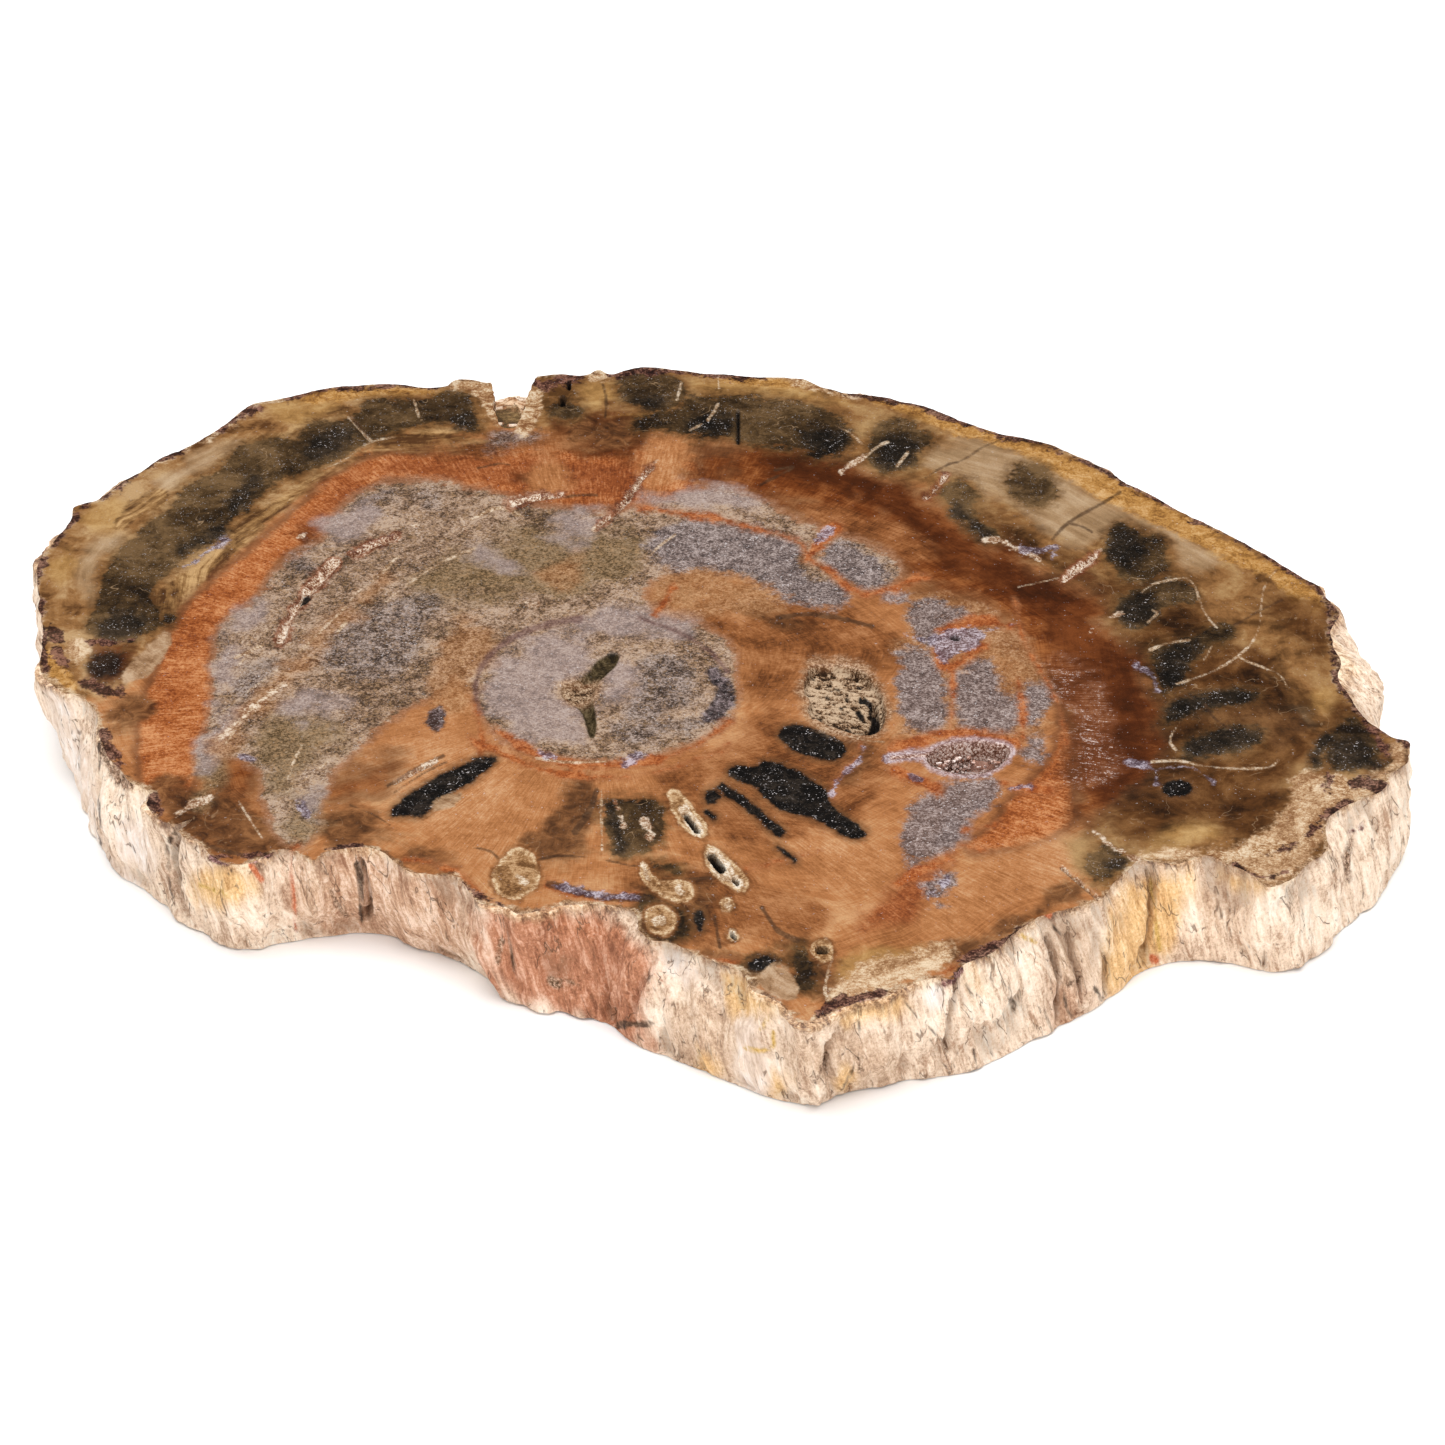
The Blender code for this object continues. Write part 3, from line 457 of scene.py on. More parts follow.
        (0, 955, 600, 990, 610, 1015, 640, 1030, 665, 1005, 660, 980, 630),
    ],
    "putty": [
        (0, 925, 452, 940, 446, 960, 440, 985, 436, 1005, 444, 1030, 452, 1060, 474, 1085, 494, 1120, 508,
         1160, 518, 1195, 540, 1215, 560, 1205, 575, 1188, 566, 1170, 540, 1145, 528, 1120, 520, 1104, 530,
         1095, 545, 1075, 548, 1052, 540, 1040, 525, 1022, 508, 1005, 498, 985, 498, 975, 485, 960, 478,
         945, 474, 932, 468),
        (0, 1190, 717, 1215, 709, 1245, 704, 1300, 705, 1318, 720, 1300, 742, 1280, 752, 1264, 745, 1262, 730,
         1235, 725, 1200, 725),
        (0, 84, 548, 100, 538, 125, 536, 120, 546, 100, 556, 92, 575, 100, 600, 92, 606, 80, 590, 78, 565),
        (0, 155, 480, 185, 462, 225, 445, 240, 440, 222, 456, 190, 472, 165, 488),
    ],
    "honey": [
        (0, 688, 381, 740, 379, 790, 385, 830, 393, 850, 403, 835, 409, 800, 400, 750, 392, 700, 394),
        (0, 582, 384, 612, 382, 616, 400, 608, 415, 584, 412),
        (0, 268, 404, 300, 400, 340, 398, 330, 415, 300, 428, 270, 425),
        (0, 1312, 694, 1330, 690, 1338, 704, 1328, 716, 1314, 712),
        (0, 84, 512, 110, 500, 130, 505, 128, 520, 110, 530, 84, 528),
        (0, 50, 560, 72, 545, 76, 565, 60, 585, 48, 580),
        (0, 1140, 846, 1160, 822, 1200, 818, 1225, 832, 1200, 842, 1170, 848),
        (0, 832, 960, 880, 948, 930, 944, 925, 962, 870, 975, 834, 985),
    ],
    "flowGold": [
        (0, 150, 606, 168, 580, 200, 563, 222, 540, 240, 520, 262, 508, 300, 485, 330, 470, 360, 452,
         378, 442, 366, 460, 325, 482, 290, 505, 262, 530, 240, 552, 212, 577, 190, 598, 176, 612, 164, 624,
         154, 616),
        (0, 375, 444, 400, 434, 440, 426, 470, 438, 530, 446, 520, 455, 460, 457, 400, 457, 370, 462),
        (0, 128, 500, 160, 488, 172, 494, 165, 506, 142, 514, 128, 530, 112, 528),
        (0, 245, 438, 290, 430, 330, 414, 350, 404, 352, 412, 322, 424, 290, 438, 250, 446),
    ],
    "paleRim": [
        (0, 148, 474, 172, 459, 200, 441, 228, 430, 244, 418, 262, 406, 250, 400, 215, 422, 180, 440,
         150, 460),
        (0, 440, 386, 455, 374, 480, 378, 496, 392, 500, 425, 490, 426, 484, 402, 470, 392),
        (0, 582, 379, 590, 366, 610, 366, 614, 377, 600, 381),
        (0, 780, 380, 800, 372, 840, 374, 872, 388, 858, 400, 830, 394, 800, 388),
        (0, 870, 380, 905, 388, 960, 404, 1010, 420, 1060, 436, 1058, 444, 1005, 431, 955, 416, 905, 402,
         872, 394),
        (0, 1328, 632, 1345, 620, 1368, 632, 1382, 665, 1384, 702, 1362, 703, 1345, 680, 1335, 655),
        (0, 1195, 852, 1230, 846, 1262, 846, 1300, 838, 1290, 850, 1240, 862, 1205, 860),
        (0, 518, 400, 532, 384, 545, 392, 540, 420, 525, 440, 510, 430),
        (0, 1330, 772, 1345, 770, 1356, 782, 1352, 794, 1336, 798),
    ],
    "tanShelf": [
        (0, 120, 678, 135, 658, 150, 641, 172, 628, 168, 650, 157, 668, 146, 679, 126, 684),
        (0, 762, 968, 785, 960, 800, 985, 796, 1004, 775, 1000, 758, 985),
        (0, 428, 812, 438, 799, 455, 791, 466, 790, 460, 801, 444, 811),
    ],
    "dusk": [
        (0, 432, 708, 442, 703, 448, 715, 443, 730, 430, 732, 427, 720),
        (0, 704, 668, 716, 664, 730, 680, 735, 697, 728, 714, 708, 722, 700, 716, 712, 705, 716, 690,
         708, 680),
    ],
    "pithRing": [
        (6, 480, 712, 474, 690, 480, 668, 494, 650, 515, 636, 545, 624, 580, 618),
        (4, 640, 618, 680, 632, 712, 652, 728, 672),
    ],
    "shelf": [
        (0, 1134, 853, 1150, 852, 1185, 849, 1225, 848, 1250, 841, 1274, 824, 1290, 802, 1291, 776, 1318, 770,
         1332, 776, 1345, 775, 1376, 776, 1391, 764, 1390, 744, 1402, 738, 1425, 748, 1430, 800, 1390, 832,
         1345, 834, 1322, 842, 1300, 872, 1282, 892, 1262, 892, 1240, 876, 1180, 866),
        (0, 745, 985, 756, 972, 762, 990, 760, 1005),
        (0, 830, 990, 880, 958, 930, 944, 960, 948, 930, 975, 870, 992, 832, 1003),
        (0, 66, 640, 84, 642, 90, 656, 78, 666, 66, 656),
    ],
    "heart": [
        (0, 213, 700, 212, 650, 225, 622, 250, 608, 264, 590, 290, 560, 310, 548, 325, 542, 335, 512,
         372, 486, 410, 480, 450, 486, 500, 498, 560, 510, 600, 513, 650, 508, 700, 490, 735, 492, 780, 512,
         822, 532, 818, 560, 850, 600, 820, 606, 780, 592, 740, 574, 690, 567, 655, 578, 640, 600, 660, 622,
         700, 622, 735, 650, 735, 715, 700, 745, 640, 758, 600, 762, 540, 755, 500, 735, 480, 712, 472, 690,
         452, 672, 440, 690, 405, 708, 380, 724, 355, 745, 330, 775, 318, 800, 312, 850, 285, 845, 262, 800,
         262, 770, 240, 755, 218, 752, 190, 770, 205, 742),
        (0, 822, 540, 858, 540, 885, 552, 902, 570, 895, 585, 865, 590, 840, 575, 822, 562),
    ],
    "coldGrain": [
        (0, 645, 545, 665, 530, 700, 521, 760, 527, 800, 541, 800, 552, 788, 561, 800, 572, 838, 588,
         850, 600, 812, 605, 775, 590, 745, 574, 700, 562, 665, 566),
        (0, 822, 558, 836, 545, 858, 550, 882, 562, 896, 578, 872, 590, 848, 578, 828, 566),
        (0, 878, 592, 892, 590, 905, 598, 890, 600),
        (0, 905, 618, 922, 604, 950, 608, 965, 612, 955, 623, 940, 632, 932, 650, 918, 640, 910, 628),
        (0, 896, 668, 905, 650, 925, 644, 936, 665, 942, 682, 948, 700, 948, 724, 930, 732, 908, 726,
         898, 705),
        (0, 955, 672, 970, 665, 986, 659, 998, 668, 1003, 690, 1012, 705, 1014, 722, 1005, 736, 980, 739,
         965, 732, 955, 715, 951, 695),
        (0, 1017, 712, 1016, 696, 1025, 686, 1044, 682, 1055, 692, 1048, 708, 1036, 724, 1022, 726),
        (0, 1024, 748, 1032, 736, 1046, 740, 1044, 756, 1028, 758),
        (0, 905, 815, 920, 798, 945, 785, 975, 780, 1000, 782, 992, 800, 975, 815, 968, 830, 955, 845,
         935, 856, 910, 868, 903, 855, 905, 835),
        (0, 922, 892, 938, 878, 956, 872, 948, 892, 934, 904),
    ],
    "oliveGrain": [
        (0, 470, 555, 520, 528, 600, 532, 640, 527, 650, 560, 600, 590, 520, 600, 440, 600, 400, 590,
         420, 570),
        (0, 255, 735, 285, 712, 345, 715, 340, 745, 300, 770, 285, 800, 262, 790, 262, 760),
        (0, 290, 800, 318, 790, 322, 830, 300, 850, 290, 830),
        (0, 205, 755, 225, 760, 222, 775, 206, 800, 200, 798),
    ],
    "shadowGrain": [
        (0, 318, 655, 330, 622, 370, 602, 430, 590, 440, 605, 420, 640, 410, 670, 380, 682, 340, 680),
        (0, 228, 702, 238, 680, 262, 664, 280, 660, 262, 690, 240, 706),
        (0, 640, 652, 680, 650, 700, 670, 702, 700, 660, 722, 620, 724, 608, 712, 640, 700, 648, 675),
        (0, 612, 722, 650, 724, 690, 716, 705, 724, 680, 740, 640, 744, 615, 736),
        (0, 365, 502, 390, 492, 430, 492, 440, 500, 400, 508, 372, 510),
        (0, 484, 434, 520, 428, 548, 430, 545, 442, 510, 450, 488, 446),
        (0, 284, 562, 300, 548, 312, 552, 318, 566, 296, 572),
    ],
    "lilac": [
        (0, 326, 528, 334, 512, 360, 500, 382, 502, 380, 520, 355, 540, 338, 546),
        (0, 548, 540, 552, 522, 570, 514, 600, 514, 596, 528, 576, 546, 560, 552),
        (0, 470, 552, 490, 546, 520, 560, 510, 572, 485, 570),
        (0, 285, 706, 320, 695, 355, 694, 360, 712, 330, 718, 295, 715),
        (0, 482, 700, 486, 672, 510, 650, 550, 640, 590, 645, 602, 668, 570, 684, 560, 696, 580, 712,
         586, 737, 550, 744, 515, 732, 492, 718),
        (0, 600, 684, 612, 664, 634, 672, 630, 700, 604, 710, 598, 695),
        (0, 560, 640, 600, 612, 650, 606, 700, 620, 690, 645, 640, 636, 600, 645),
        (0, 640, 492, 700, 486, 760, 500, 740, 506, 690, 504, 650, 504),
        (0, 214, 700, 217, 655, 230, 626, 252, 606, 270, 596, 252, 626, 236, 650, 227, 690, 218, 712),
        (0, 198, 765, 206, 740, 225, 718, 245, 706, 240, 720, 222, 738, 210, 765),
        (0, 300, 812, 302, 798, 316, 790, 320, 806, 310, 820),
        (0, 955, 815, 985, 800, 975, 830, 950, 845, 930, 850),
    ],
    "warmSand": [
        (0, 900, 650, 905, 610, 925, 592, 985, 600, 1030, 640, 1055, 690, 1050, 740, 1020, 745, 985, 738,
         905, 745, 888, 715),
        (0, 645, 598, 660, 573, 700, 562, 750, 572, 800, 598, 760, 612, 700, 614, 662, 612),
        (0, 425, 692, 440, 650, 470, 620, 500, 625, 490, 660, 475, 690, 468, 722, 440, 714),
        (12, 224, 748, 252, 704, 286, 676, 322, 640, 352, 610, 384, 582),
        (0, 560, 556, 590, 560, 580, 580, 540, 580),
    ],
    "veins": [
        (4, 640, 508, 680, 513, 720, 518, 760, 530, 800, 540, 806, 552), (9, 836, 527, 822, 541, 806, 558),
        (4, 806, 558, 830, 572, 862, 597, 885, 590, 905, 582, 928, 578), (7, 895, 588, 910, 580, 925, 578),
        (9, 940, 632, 960, 624, 985, 620, 1010, 625), (8, 985, 645, 965, 658, 945, 672, 936, 650),
        (3, 1015, 600, 1022, 640, 1042, 672, 1060, 705, 1066, 745), (4, 1018, 680, 1024, 710, 1022, 744),
        (10, 892, 748, 925, 740, 955, 732, 990, 736, 1018, 742), (10, 895, 770, 915, 780, 940, 790),
        (8, 1005, 782, 1022, 790, 1050, 790),
        (6, 500, 732, 520, 746, 545, 757, 580, 765, 620, 766, 660, 760, 700, 744, 728, 724),
        (9, 552, 886, 580, 894, 610, 900, 640, 896), (3, 480, 768, 482, 735, 475, 705),
        (3, 470, 738, 500, 754, 540, 770, 580, 777, 640, 777, 690, 763, 730, 743),
        (4, 862, 736, 858, 758, 834, 782, 832, 800), (5, 965, 830, 990, 826, 1000, 822),
        (3, 960, 845, 985, 850), (3, 740, 870, 780, 862, 820, 850), (3, 655, 615, 665, 600, 672, 588),
        (3, 952, 668, 953, 700, 950, 732), (9, 886, 893, 915, 872, 950, 857), (6, 140, 852, 150, 800),
        (5, 690, 956, 720, 962, 740, 962), (6, 405, 860, 430, 862, 460, 876, 478, 894),
        (4, 250, 870, 270, 862, 300, 845), (3, 820, 1010, 870, 1000, 930, 982, 960, 965),
    ],
    "smoke": [
        (0, 84, 622, 92, 612, 98, 600, 100, 585, 104, 570, 112, 556, 124, 548, 134, 538, 141, 526, 150, 520,
         162, 515, 171, 508, 178, 500, 181, 490, 190, 482, 205, 477, 218, 474, 222, 464, 232, 452, 245, 446,
         262, 443, 280, 440, 298, 440, 300, 432, 318, 423, 340, 418, 352, 416, 360, 405, 375, 400, 395, 400,
         410, 400, 430, 398, 445, 392, 462, 390, 474, 396, 478, 410, 482, 433, 472, 434, 462, 430, 455, 424,
         445, 422, 430, 422, 415, 426, 400, 428, 388, 436, 375, 438, 360, 448, 350, 455, 335, 461, 305, 471,
         290, 476, 278, 482, 264, 498, 250, 507, 240, 511, 232, 520, 225, 529, 215, 540, 205, 547, 195, 554,
         185, 564, 170, 571, 160, 579, 152, 590, 150, 600, 155, 612, 161, 622, 150, 632, 140, 640, 120, 645,
         100, 641, 88, 631),
        (0, 614, 384, 625, 374, 645, 370, 668, 374, 684, 382, 684, 402, 668, 412, 645, 412, 626, 402),
        (0, 634, 420, 650, 415, 680, 408, 690, 394, 720, 398, 760, 397, 798, 402, 832, 410, 850, 422,
         852, 445, 838, 460, 815, 456, 798, 446, 760, 444, 742, 442, 728, 436, 700, 436, 660, 428, 640, 432),
        (0, 868, 455, 874, 438, 880, 425, 892, 418, 905, 418, 920, 428, 936, 438, 930, 446, 920, 452,
         915, 465, 900, 470, 885, 475, 874, 468),
        (0, 1004, 490, 1008, 475, 1018, 465, 1030, 462, 1043, 466, 1049, 476, 1057, 486, 1058, 496, 1045, 504,
         1030, 508, 1014, 500),
        (0, 938, 492, 948, 480, 962, 478, 973, 484, 981, 497, 968, 503, 978, 512, 986, 524, 1001, 537,
         988, 540, 970, 528, 955, 514, 950, 504),
        (0, 1098, 545, 1108, 535, 1120, 523, 1136, 528, 1146, 537, 1160, 536, 1170, 541, 1166, 552, 1168, 565,
         1160, 575, 1148, 580, 1135, 584, 1122, 578, 1112, 565, 1102, 556),
        (0, 1114, 610, 1125, 597, 1140, 588, 1155, 582, 1172, 578, 1188, 580, 1197, 590, 1199, 602, 1185, 601,
         1170, 605, 1158, 613, 1150, 622, 1135, 629, 1119, 622),
        (0, 1149, 650, 1165, 642, 1185, 638, 1205, 630, 1222, 622, 1237, 629, 1230, 640, 1213, 645, 1204, 650,
         1195, 661, 1188, 673, 1180, 686, 1170, 696, 1159, 692, 1157, 672),
        (0, 1162, 721, 1172, 708, 1190, 700, 1210, 695, 1235, 690, 1253, 692, 1257, 699, 1240, 703, 1220, 706,
         1200, 708, 1186, 715, 1175, 723),
        (0, 1180, 753, 1188, 740, 1200, 732, 1220, 728, 1245, 728, 1263, 734, 1262, 746, 1245, 752, 1225, 756,
         1200, 758, 1188, 763),
        (0, 1082, 866, 1094, 850, 1106, 842, 1118, 848, 1134, 862, 1120, 872, 1104, 884, 1090, 880),
        (0, 1326, 754, 1334, 728, 1352, 716, 1366, 724, 1380, 744, 1380, 764, 1350, 775, 1332, 772),
        (7, 1332, 738, 1318, 752, 1316, 768), (0, 545, 407, 560, 400, 580, 404, 588, 411, 570, 418, 548, 417),
        (0, 604, 797, 630, 796, 662, 802, 664, 826, 652, 848, 625, 858, 611, 852, 605, 830),
        (0, 640, 902, 648, 893, 664, 900, 684, 912, 694, 930, 676, 945, 642, 938),
        (0, 790, 952, 806, 946, 818, 970, 812, 992, 796, 992, 790, 972),
        (0, 738, 968, 752, 955, 772, 950, 782, 962, 770, 974, 750, 976), (8, 655, 866, 670, 868, 680, 872),
        (0, 163, 618, 169, 611, 177, 617, 172, 626),
    ],
    "ink": [
        (0, 384, 819, 400, 800, 425, 783, 455, 768, 480, 756, 502, 758, 482, 775, 462, 788, 440, 801,
         424, 818, 402, 817),
        (0, 776, 737, 783, 726, 800, 724, 822, 731, 842, 741, 851, 752, 840, 761, 815, 759, 788, 749),
        (0, 725, 772, 735, 764, 758, 768, 762, 756, 790, 767, 810, 779, 826, 788, 829, 802, 846, 817,
         869, 832, 866, 840, 850, 840, 825, 823, 800, 816, 780, 810, 765, 797, 755, 786, 733, 780),
        (9, 722, 788, 740, 800, 760, 815, 780, 832), (0, 702, 795, 712, 787, 723, 795, 715, 804, 704, 804),
        (6, 706, 812, 714, 818), (6, 778, 847, 795, 860),
        (0, 744, 966, 755, 957, 770, 954, 777, 962, 768, 971, 752, 973),
        (0, 692, 915, 698, 905, 706, 915, 702, 936, 694, 926),
        (0, 1160, 790, 1168, 779, 1185, 777, 1196, 785, 1188, 796, 1165, 797),
    ],
    "pitch": [
        (0, 228, 506, 240, 488, 256, 475, 263, 482, 247, 502, 234, 512),
        (0, 302, 452, 322, 434, 350, 424, 352, 434, 332, 452, 308, 460),
        (0, 452, 420, 460, 410, 472, 412, 474, 424, 460, 428), (6, 184, 549, 202, 540, 222, 528),
        (0, 96, 634, 108, 616, 134, 612, 146, 626, 130, 640),
        (0, 86, 664, 98, 655, 122, 656, 116, 674, 96, 678),
        (0, 630, 400, 640, 394, 662, 395, 664, 402, 645, 407),
        (0, 684, 426, 700, 416, 730, 416, 728, 430, 700, 432),
        (0, 800, 436, 822, 430, 846, 431, 844, 448, 830, 455, 812, 446),
        (0, 880, 464, 884, 440, 902, 436, 920, 442, 910, 458, 892, 468),
        (0, 1104, 545, 1122, 532, 1140, 540, 1146, 556, 1130, 566, 1114, 560),
        (0, 1119, 612, 1128, 600, 1150, 598, 1158, 606, 1140, 622, 1126, 622),
        (0, 1164, 688, 1162, 660, 1172, 646, 1200, 640, 1196, 652, 1180, 672, 1172, 690),
        (0, 1184, 756, 1194, 738, 1214, 731, 1245, 729, 1262, 734, 1256, 746, 1225, 750, 1202, 758),
        (0, 1164, 714, 1178, 703, 1200, 696, 1235, 691, 1254, 694, 1244, 701, 1215, 704, 1188, 711,
         1172, 720),
        (6, 1328, 739, 1318, 746, 1314, 760),
        (0, 1330, 758, 1334, 747, 1348, 740, 1364, 742, 1371, 752, 1366, 766, 1348, 770, 1334, 767),
        (6, 1376, 766, 1391, 762), (5, 610, 806, 618, 830, 620, 848), (6, 956, 512, 972, 522, 984, 534),
        (0, 1104, 866, 1112, 856, 1128, 862, 1112, 874),
    ],
    "darkLines": [
        (1.6, 925, 478, 945, 465, 965, 460, 980, 448, 1000, 440),
        (2.6, 1052, 540, 1065, 525, 1080, 515, 1100, 505, 1120, 492), (2, 1072, 524, 1082, 526, 1092, 532),
        (2.4, 1235, 625, 1265, 608, 1282, 600), (2.4, 603, 385, 607, 400, 605, 418),
        (2.4, 478, 468, 500, 463, 510, 465), (3, 565, 497, 580, 495, 597, 495),
        (3.4, 658, 881, 690, 879, 722, 877), (5, 762, 908, 770, 920, 778, 932, 797, 940),
        (8, 550, 884, 580, 892, 610, 899, 646, 897), (3, 714, 915, 720, 948),
        (5, 778, 618, 805, 613, 840, 618, 872, 626), (6, 575, 832, 590, 812, 597, 790),
        (2.4, 475, 848, 490, 850, 500, 860), (2.4, 538, 860, 560, 855, 586, 857),
        (2.4, 340, 848, 365, 844, 380, 850), (3, 388, 786, 406, 774, 426, 764, 443, 756),
        (2, 395, 792, 420, 775, 446, 762), (3, 352, 417, 370, 440), (2, 1205, 705, 1215, 720, 1232, 730),
        (2.4, 775, 470, 800, 465, 760, 485), (2, 350, 805, 375, 815, 390, 825),
        (2, 605, 860, 640, 868, 655, 862), (3, 1062, 868, 1080, 884, 1098, 899), (3, 155, 792, 160, 812),
        (5, 200, 842, 225, 852, 262, 858), (4, 945, 985, 958, 972, 962, 962),
        (3, 822, 1012, 835, 1002, 870, 996, 885, 992),
    ],
    "cream": [
        (4.4, 1091, 630, 1106, 620, 1119, 615), (4, 862, 457, 852, 464, 842, 472),
        (10, 335, 562, 318, 580, 300, 600, 288, 620, 280, 640), (6, 352, 558, 368, 552, 386, 540, 398, 540),
        (7, 512, 500, 540, 496, 562, 495), (6, 595, 528, 612, 515, 625, 505, 632, 488, 642, 478, 655, 462),
        (4, 1062, 868, 1080, 882, 1100, 898), (5, 1088, 822, 1098, 836, 1115, 848, 1140, 862),
        (7, 924, 498, 935, 487, 947, 476), (8, 1062, 580, 1075, 570, 1090, 560, 1100, 548),
        (4, 985, 540, 1000, 540, 1015, 548, 1030, 552, 1052, 572),
        (6, 286, 684, 262, 700, 244, 716, 222, 736), (5, 396, 783, 412, 773, 436, 761),
        (6, 298, 537, 302, 537), (6, 416, 523, 420, 523), (4, 460, 516, 466, 530),
        (6, 614, 800, 622, 815, 624, 826), (9, 643, 820, 650, 828, 648, 838),
        (0, 520, 599, 540, 598, 544, 605, 524, 606), (5, 176, 815, 190, 806, 210, 796),
    ],
    "hairs": [
        (1.4, 322, 470, 345, 460, 358, 450, 372, 441, 395, 437), (3, 348, 417, 358, 427, 370, 440),
        (2.4, 414, 400, 419, 416),
        (2.2, 1142, 592, 1152, 584, 1170, 580, 1188, 577, 1196, 588, 1200, 603, 1208, 618, 1217, 628),
        (2.4, 1176, 684, 1205, 675, 1225, 665, 1240, 655, 1255, 640, 1261, 620, 1261, 600, 1266, 582,
         1276, 570),
        (2, 1238, 657, 1260, 667, 1280, 673, 1287, 687), (2, 1152, 610, 1160, 612, 1148, 622),
        (3, 1150, 650, 1166, 643, 1190, 640), (2, 1204, 660, 1212, 646),
        (2.6, 1152, 762, 1180, 760, 1205, 767, 1240, 769, 1272, 768, 1278, 760),
        (2, 1180, 722, 1168, 740, 1176, 750), (1.6, 832, 424, 850, 432, 862, 444), (2.4, 690, 430, 702, 424),
        (3.4, 708, 420, 714, 412, 718, 404), (1.8, 718, 378, 719, 388), (2.4, 681, 383, 677, 400),
        (2.4, 866, 456, 878, 446, 888, 442), (3, 897, 466, 908, 452), (3, 386, 568, 398, 556),
        (2.4, 650, 556, 660, 545, 675, 535), (3.4, 825, 938, 834, 950, 828, 972, 824, 990, 828, 1000),
        (1.6, 1018, 587, 1040, 582, 1060, 578), (3, 262, 646, 248, 652, 235, 658),
        (2, 238, 800, 250, 820, 262, 838), (2.4, 302, 744, 292, 765, 288, 780),
        (2.6, 536, 758, 570, 763, 606, 761), (2, 385, 602, 410, 582, 440, 562, 475, 548),
        (3.4, 338, 632, 346, 622), (2.6, 601, 788, 602, 850), (3, 885, 742, 860, 740, 825, 727),
        (3, 470, 520, 500, 505, 520, 515), (2, 225, 745, 240, 722, 254, 706, 284, 682),
        (2, 300, 652, 330, 622, 347, 606), (1.6, 350, 600, 362, 588, 382, 574, 395, 560),
        (1.6, 222, 712, 250, 690, 280, 668), (1.6, 236, 668, 262, 640, 268, 628),
        (1.8, 286, 792, 310, 776, 330, 760),
    ],
    "blue": [
        (6, 862, 748, 860, 760, 845, 772, 835, 785, 832, 795),
        (0, 922, 634, 945, 631, 965, 627, 988, 630, 978, 648, 955, 653, 945, 666, 936, 655),
        (3, 985, 631, 1000, 628, 1020, 620), (6, 816, 540, 830, 532), (7, 886, 759, 905, 757, 922, 755),
        (7, 1022, 548, 1040, 550, 1055, 546), (6, 1052, 558, 1056, 546), (7, 1136, 667, 1150, 672, 1158, 690),
        (4, 1128, 762, 1150, 768, 1160, 770, 1190, 765, 1215, 782), (6, 1156, 770, 1156, 784),
        (6, 556, 886, 580, 891, 605, 898, 634, 897), (7, 912, 777, 918, 779), (4, 1010, 788, 1030, 787),
        (5, 228, 540, 214, 548, 190, 565), (6, 185, 566, 198, 560), (5, 242, 757, 252, 760),
        (5, 540, 752, 556, 757), (7, 625, 765, 640, 755), (6, 925, 640, 905, 635),
        (8, 928, 900, 936, 894, 945, 880), (9, 300, 805, 308, 815),
    ],
    "eyes": [
        (0, 666, 787, 680, 790, 697, 810, 712, 834, 702, 840, 684, 830, 671, 810),
        (0, 701, 848, 712, 842, 727, 856, 744, 873, 752, 888, 742, 897, 722, 882, 707, 867),
        (0, 638, 866, 646, 860, 656, 880, 668, 880, 692, 880, 697, 895, 686, 905, 668, 901, 650, 888,
         640, 882),
        (30, 660, 920, 662, 921), (15, 727, 904, 728, 905), (11, 733, 936, 734, 937),
        (22, 822, 951, 823, 952),
        (0, 490, 880, 500, 862, 512, 846, 530, 850, 540, 868, 537, 890, 515, 902, 500, 898),
    ],
    "eyeRings": [
        (11, 684, 808, 690, 818, 699, 832), (16, 712, 854, 721, 866, 725, 872), (11, 735, 881, 738, 885),
        (8, 657, 921, 663, 919), (8, 727, 901, 728, 907), (8, 679, 888, 682, 893), (6, 644, 866, 648, 880),
        (8, 733, 933, 734, 937), (5, 518, 876, 526, 882),
    ],
}

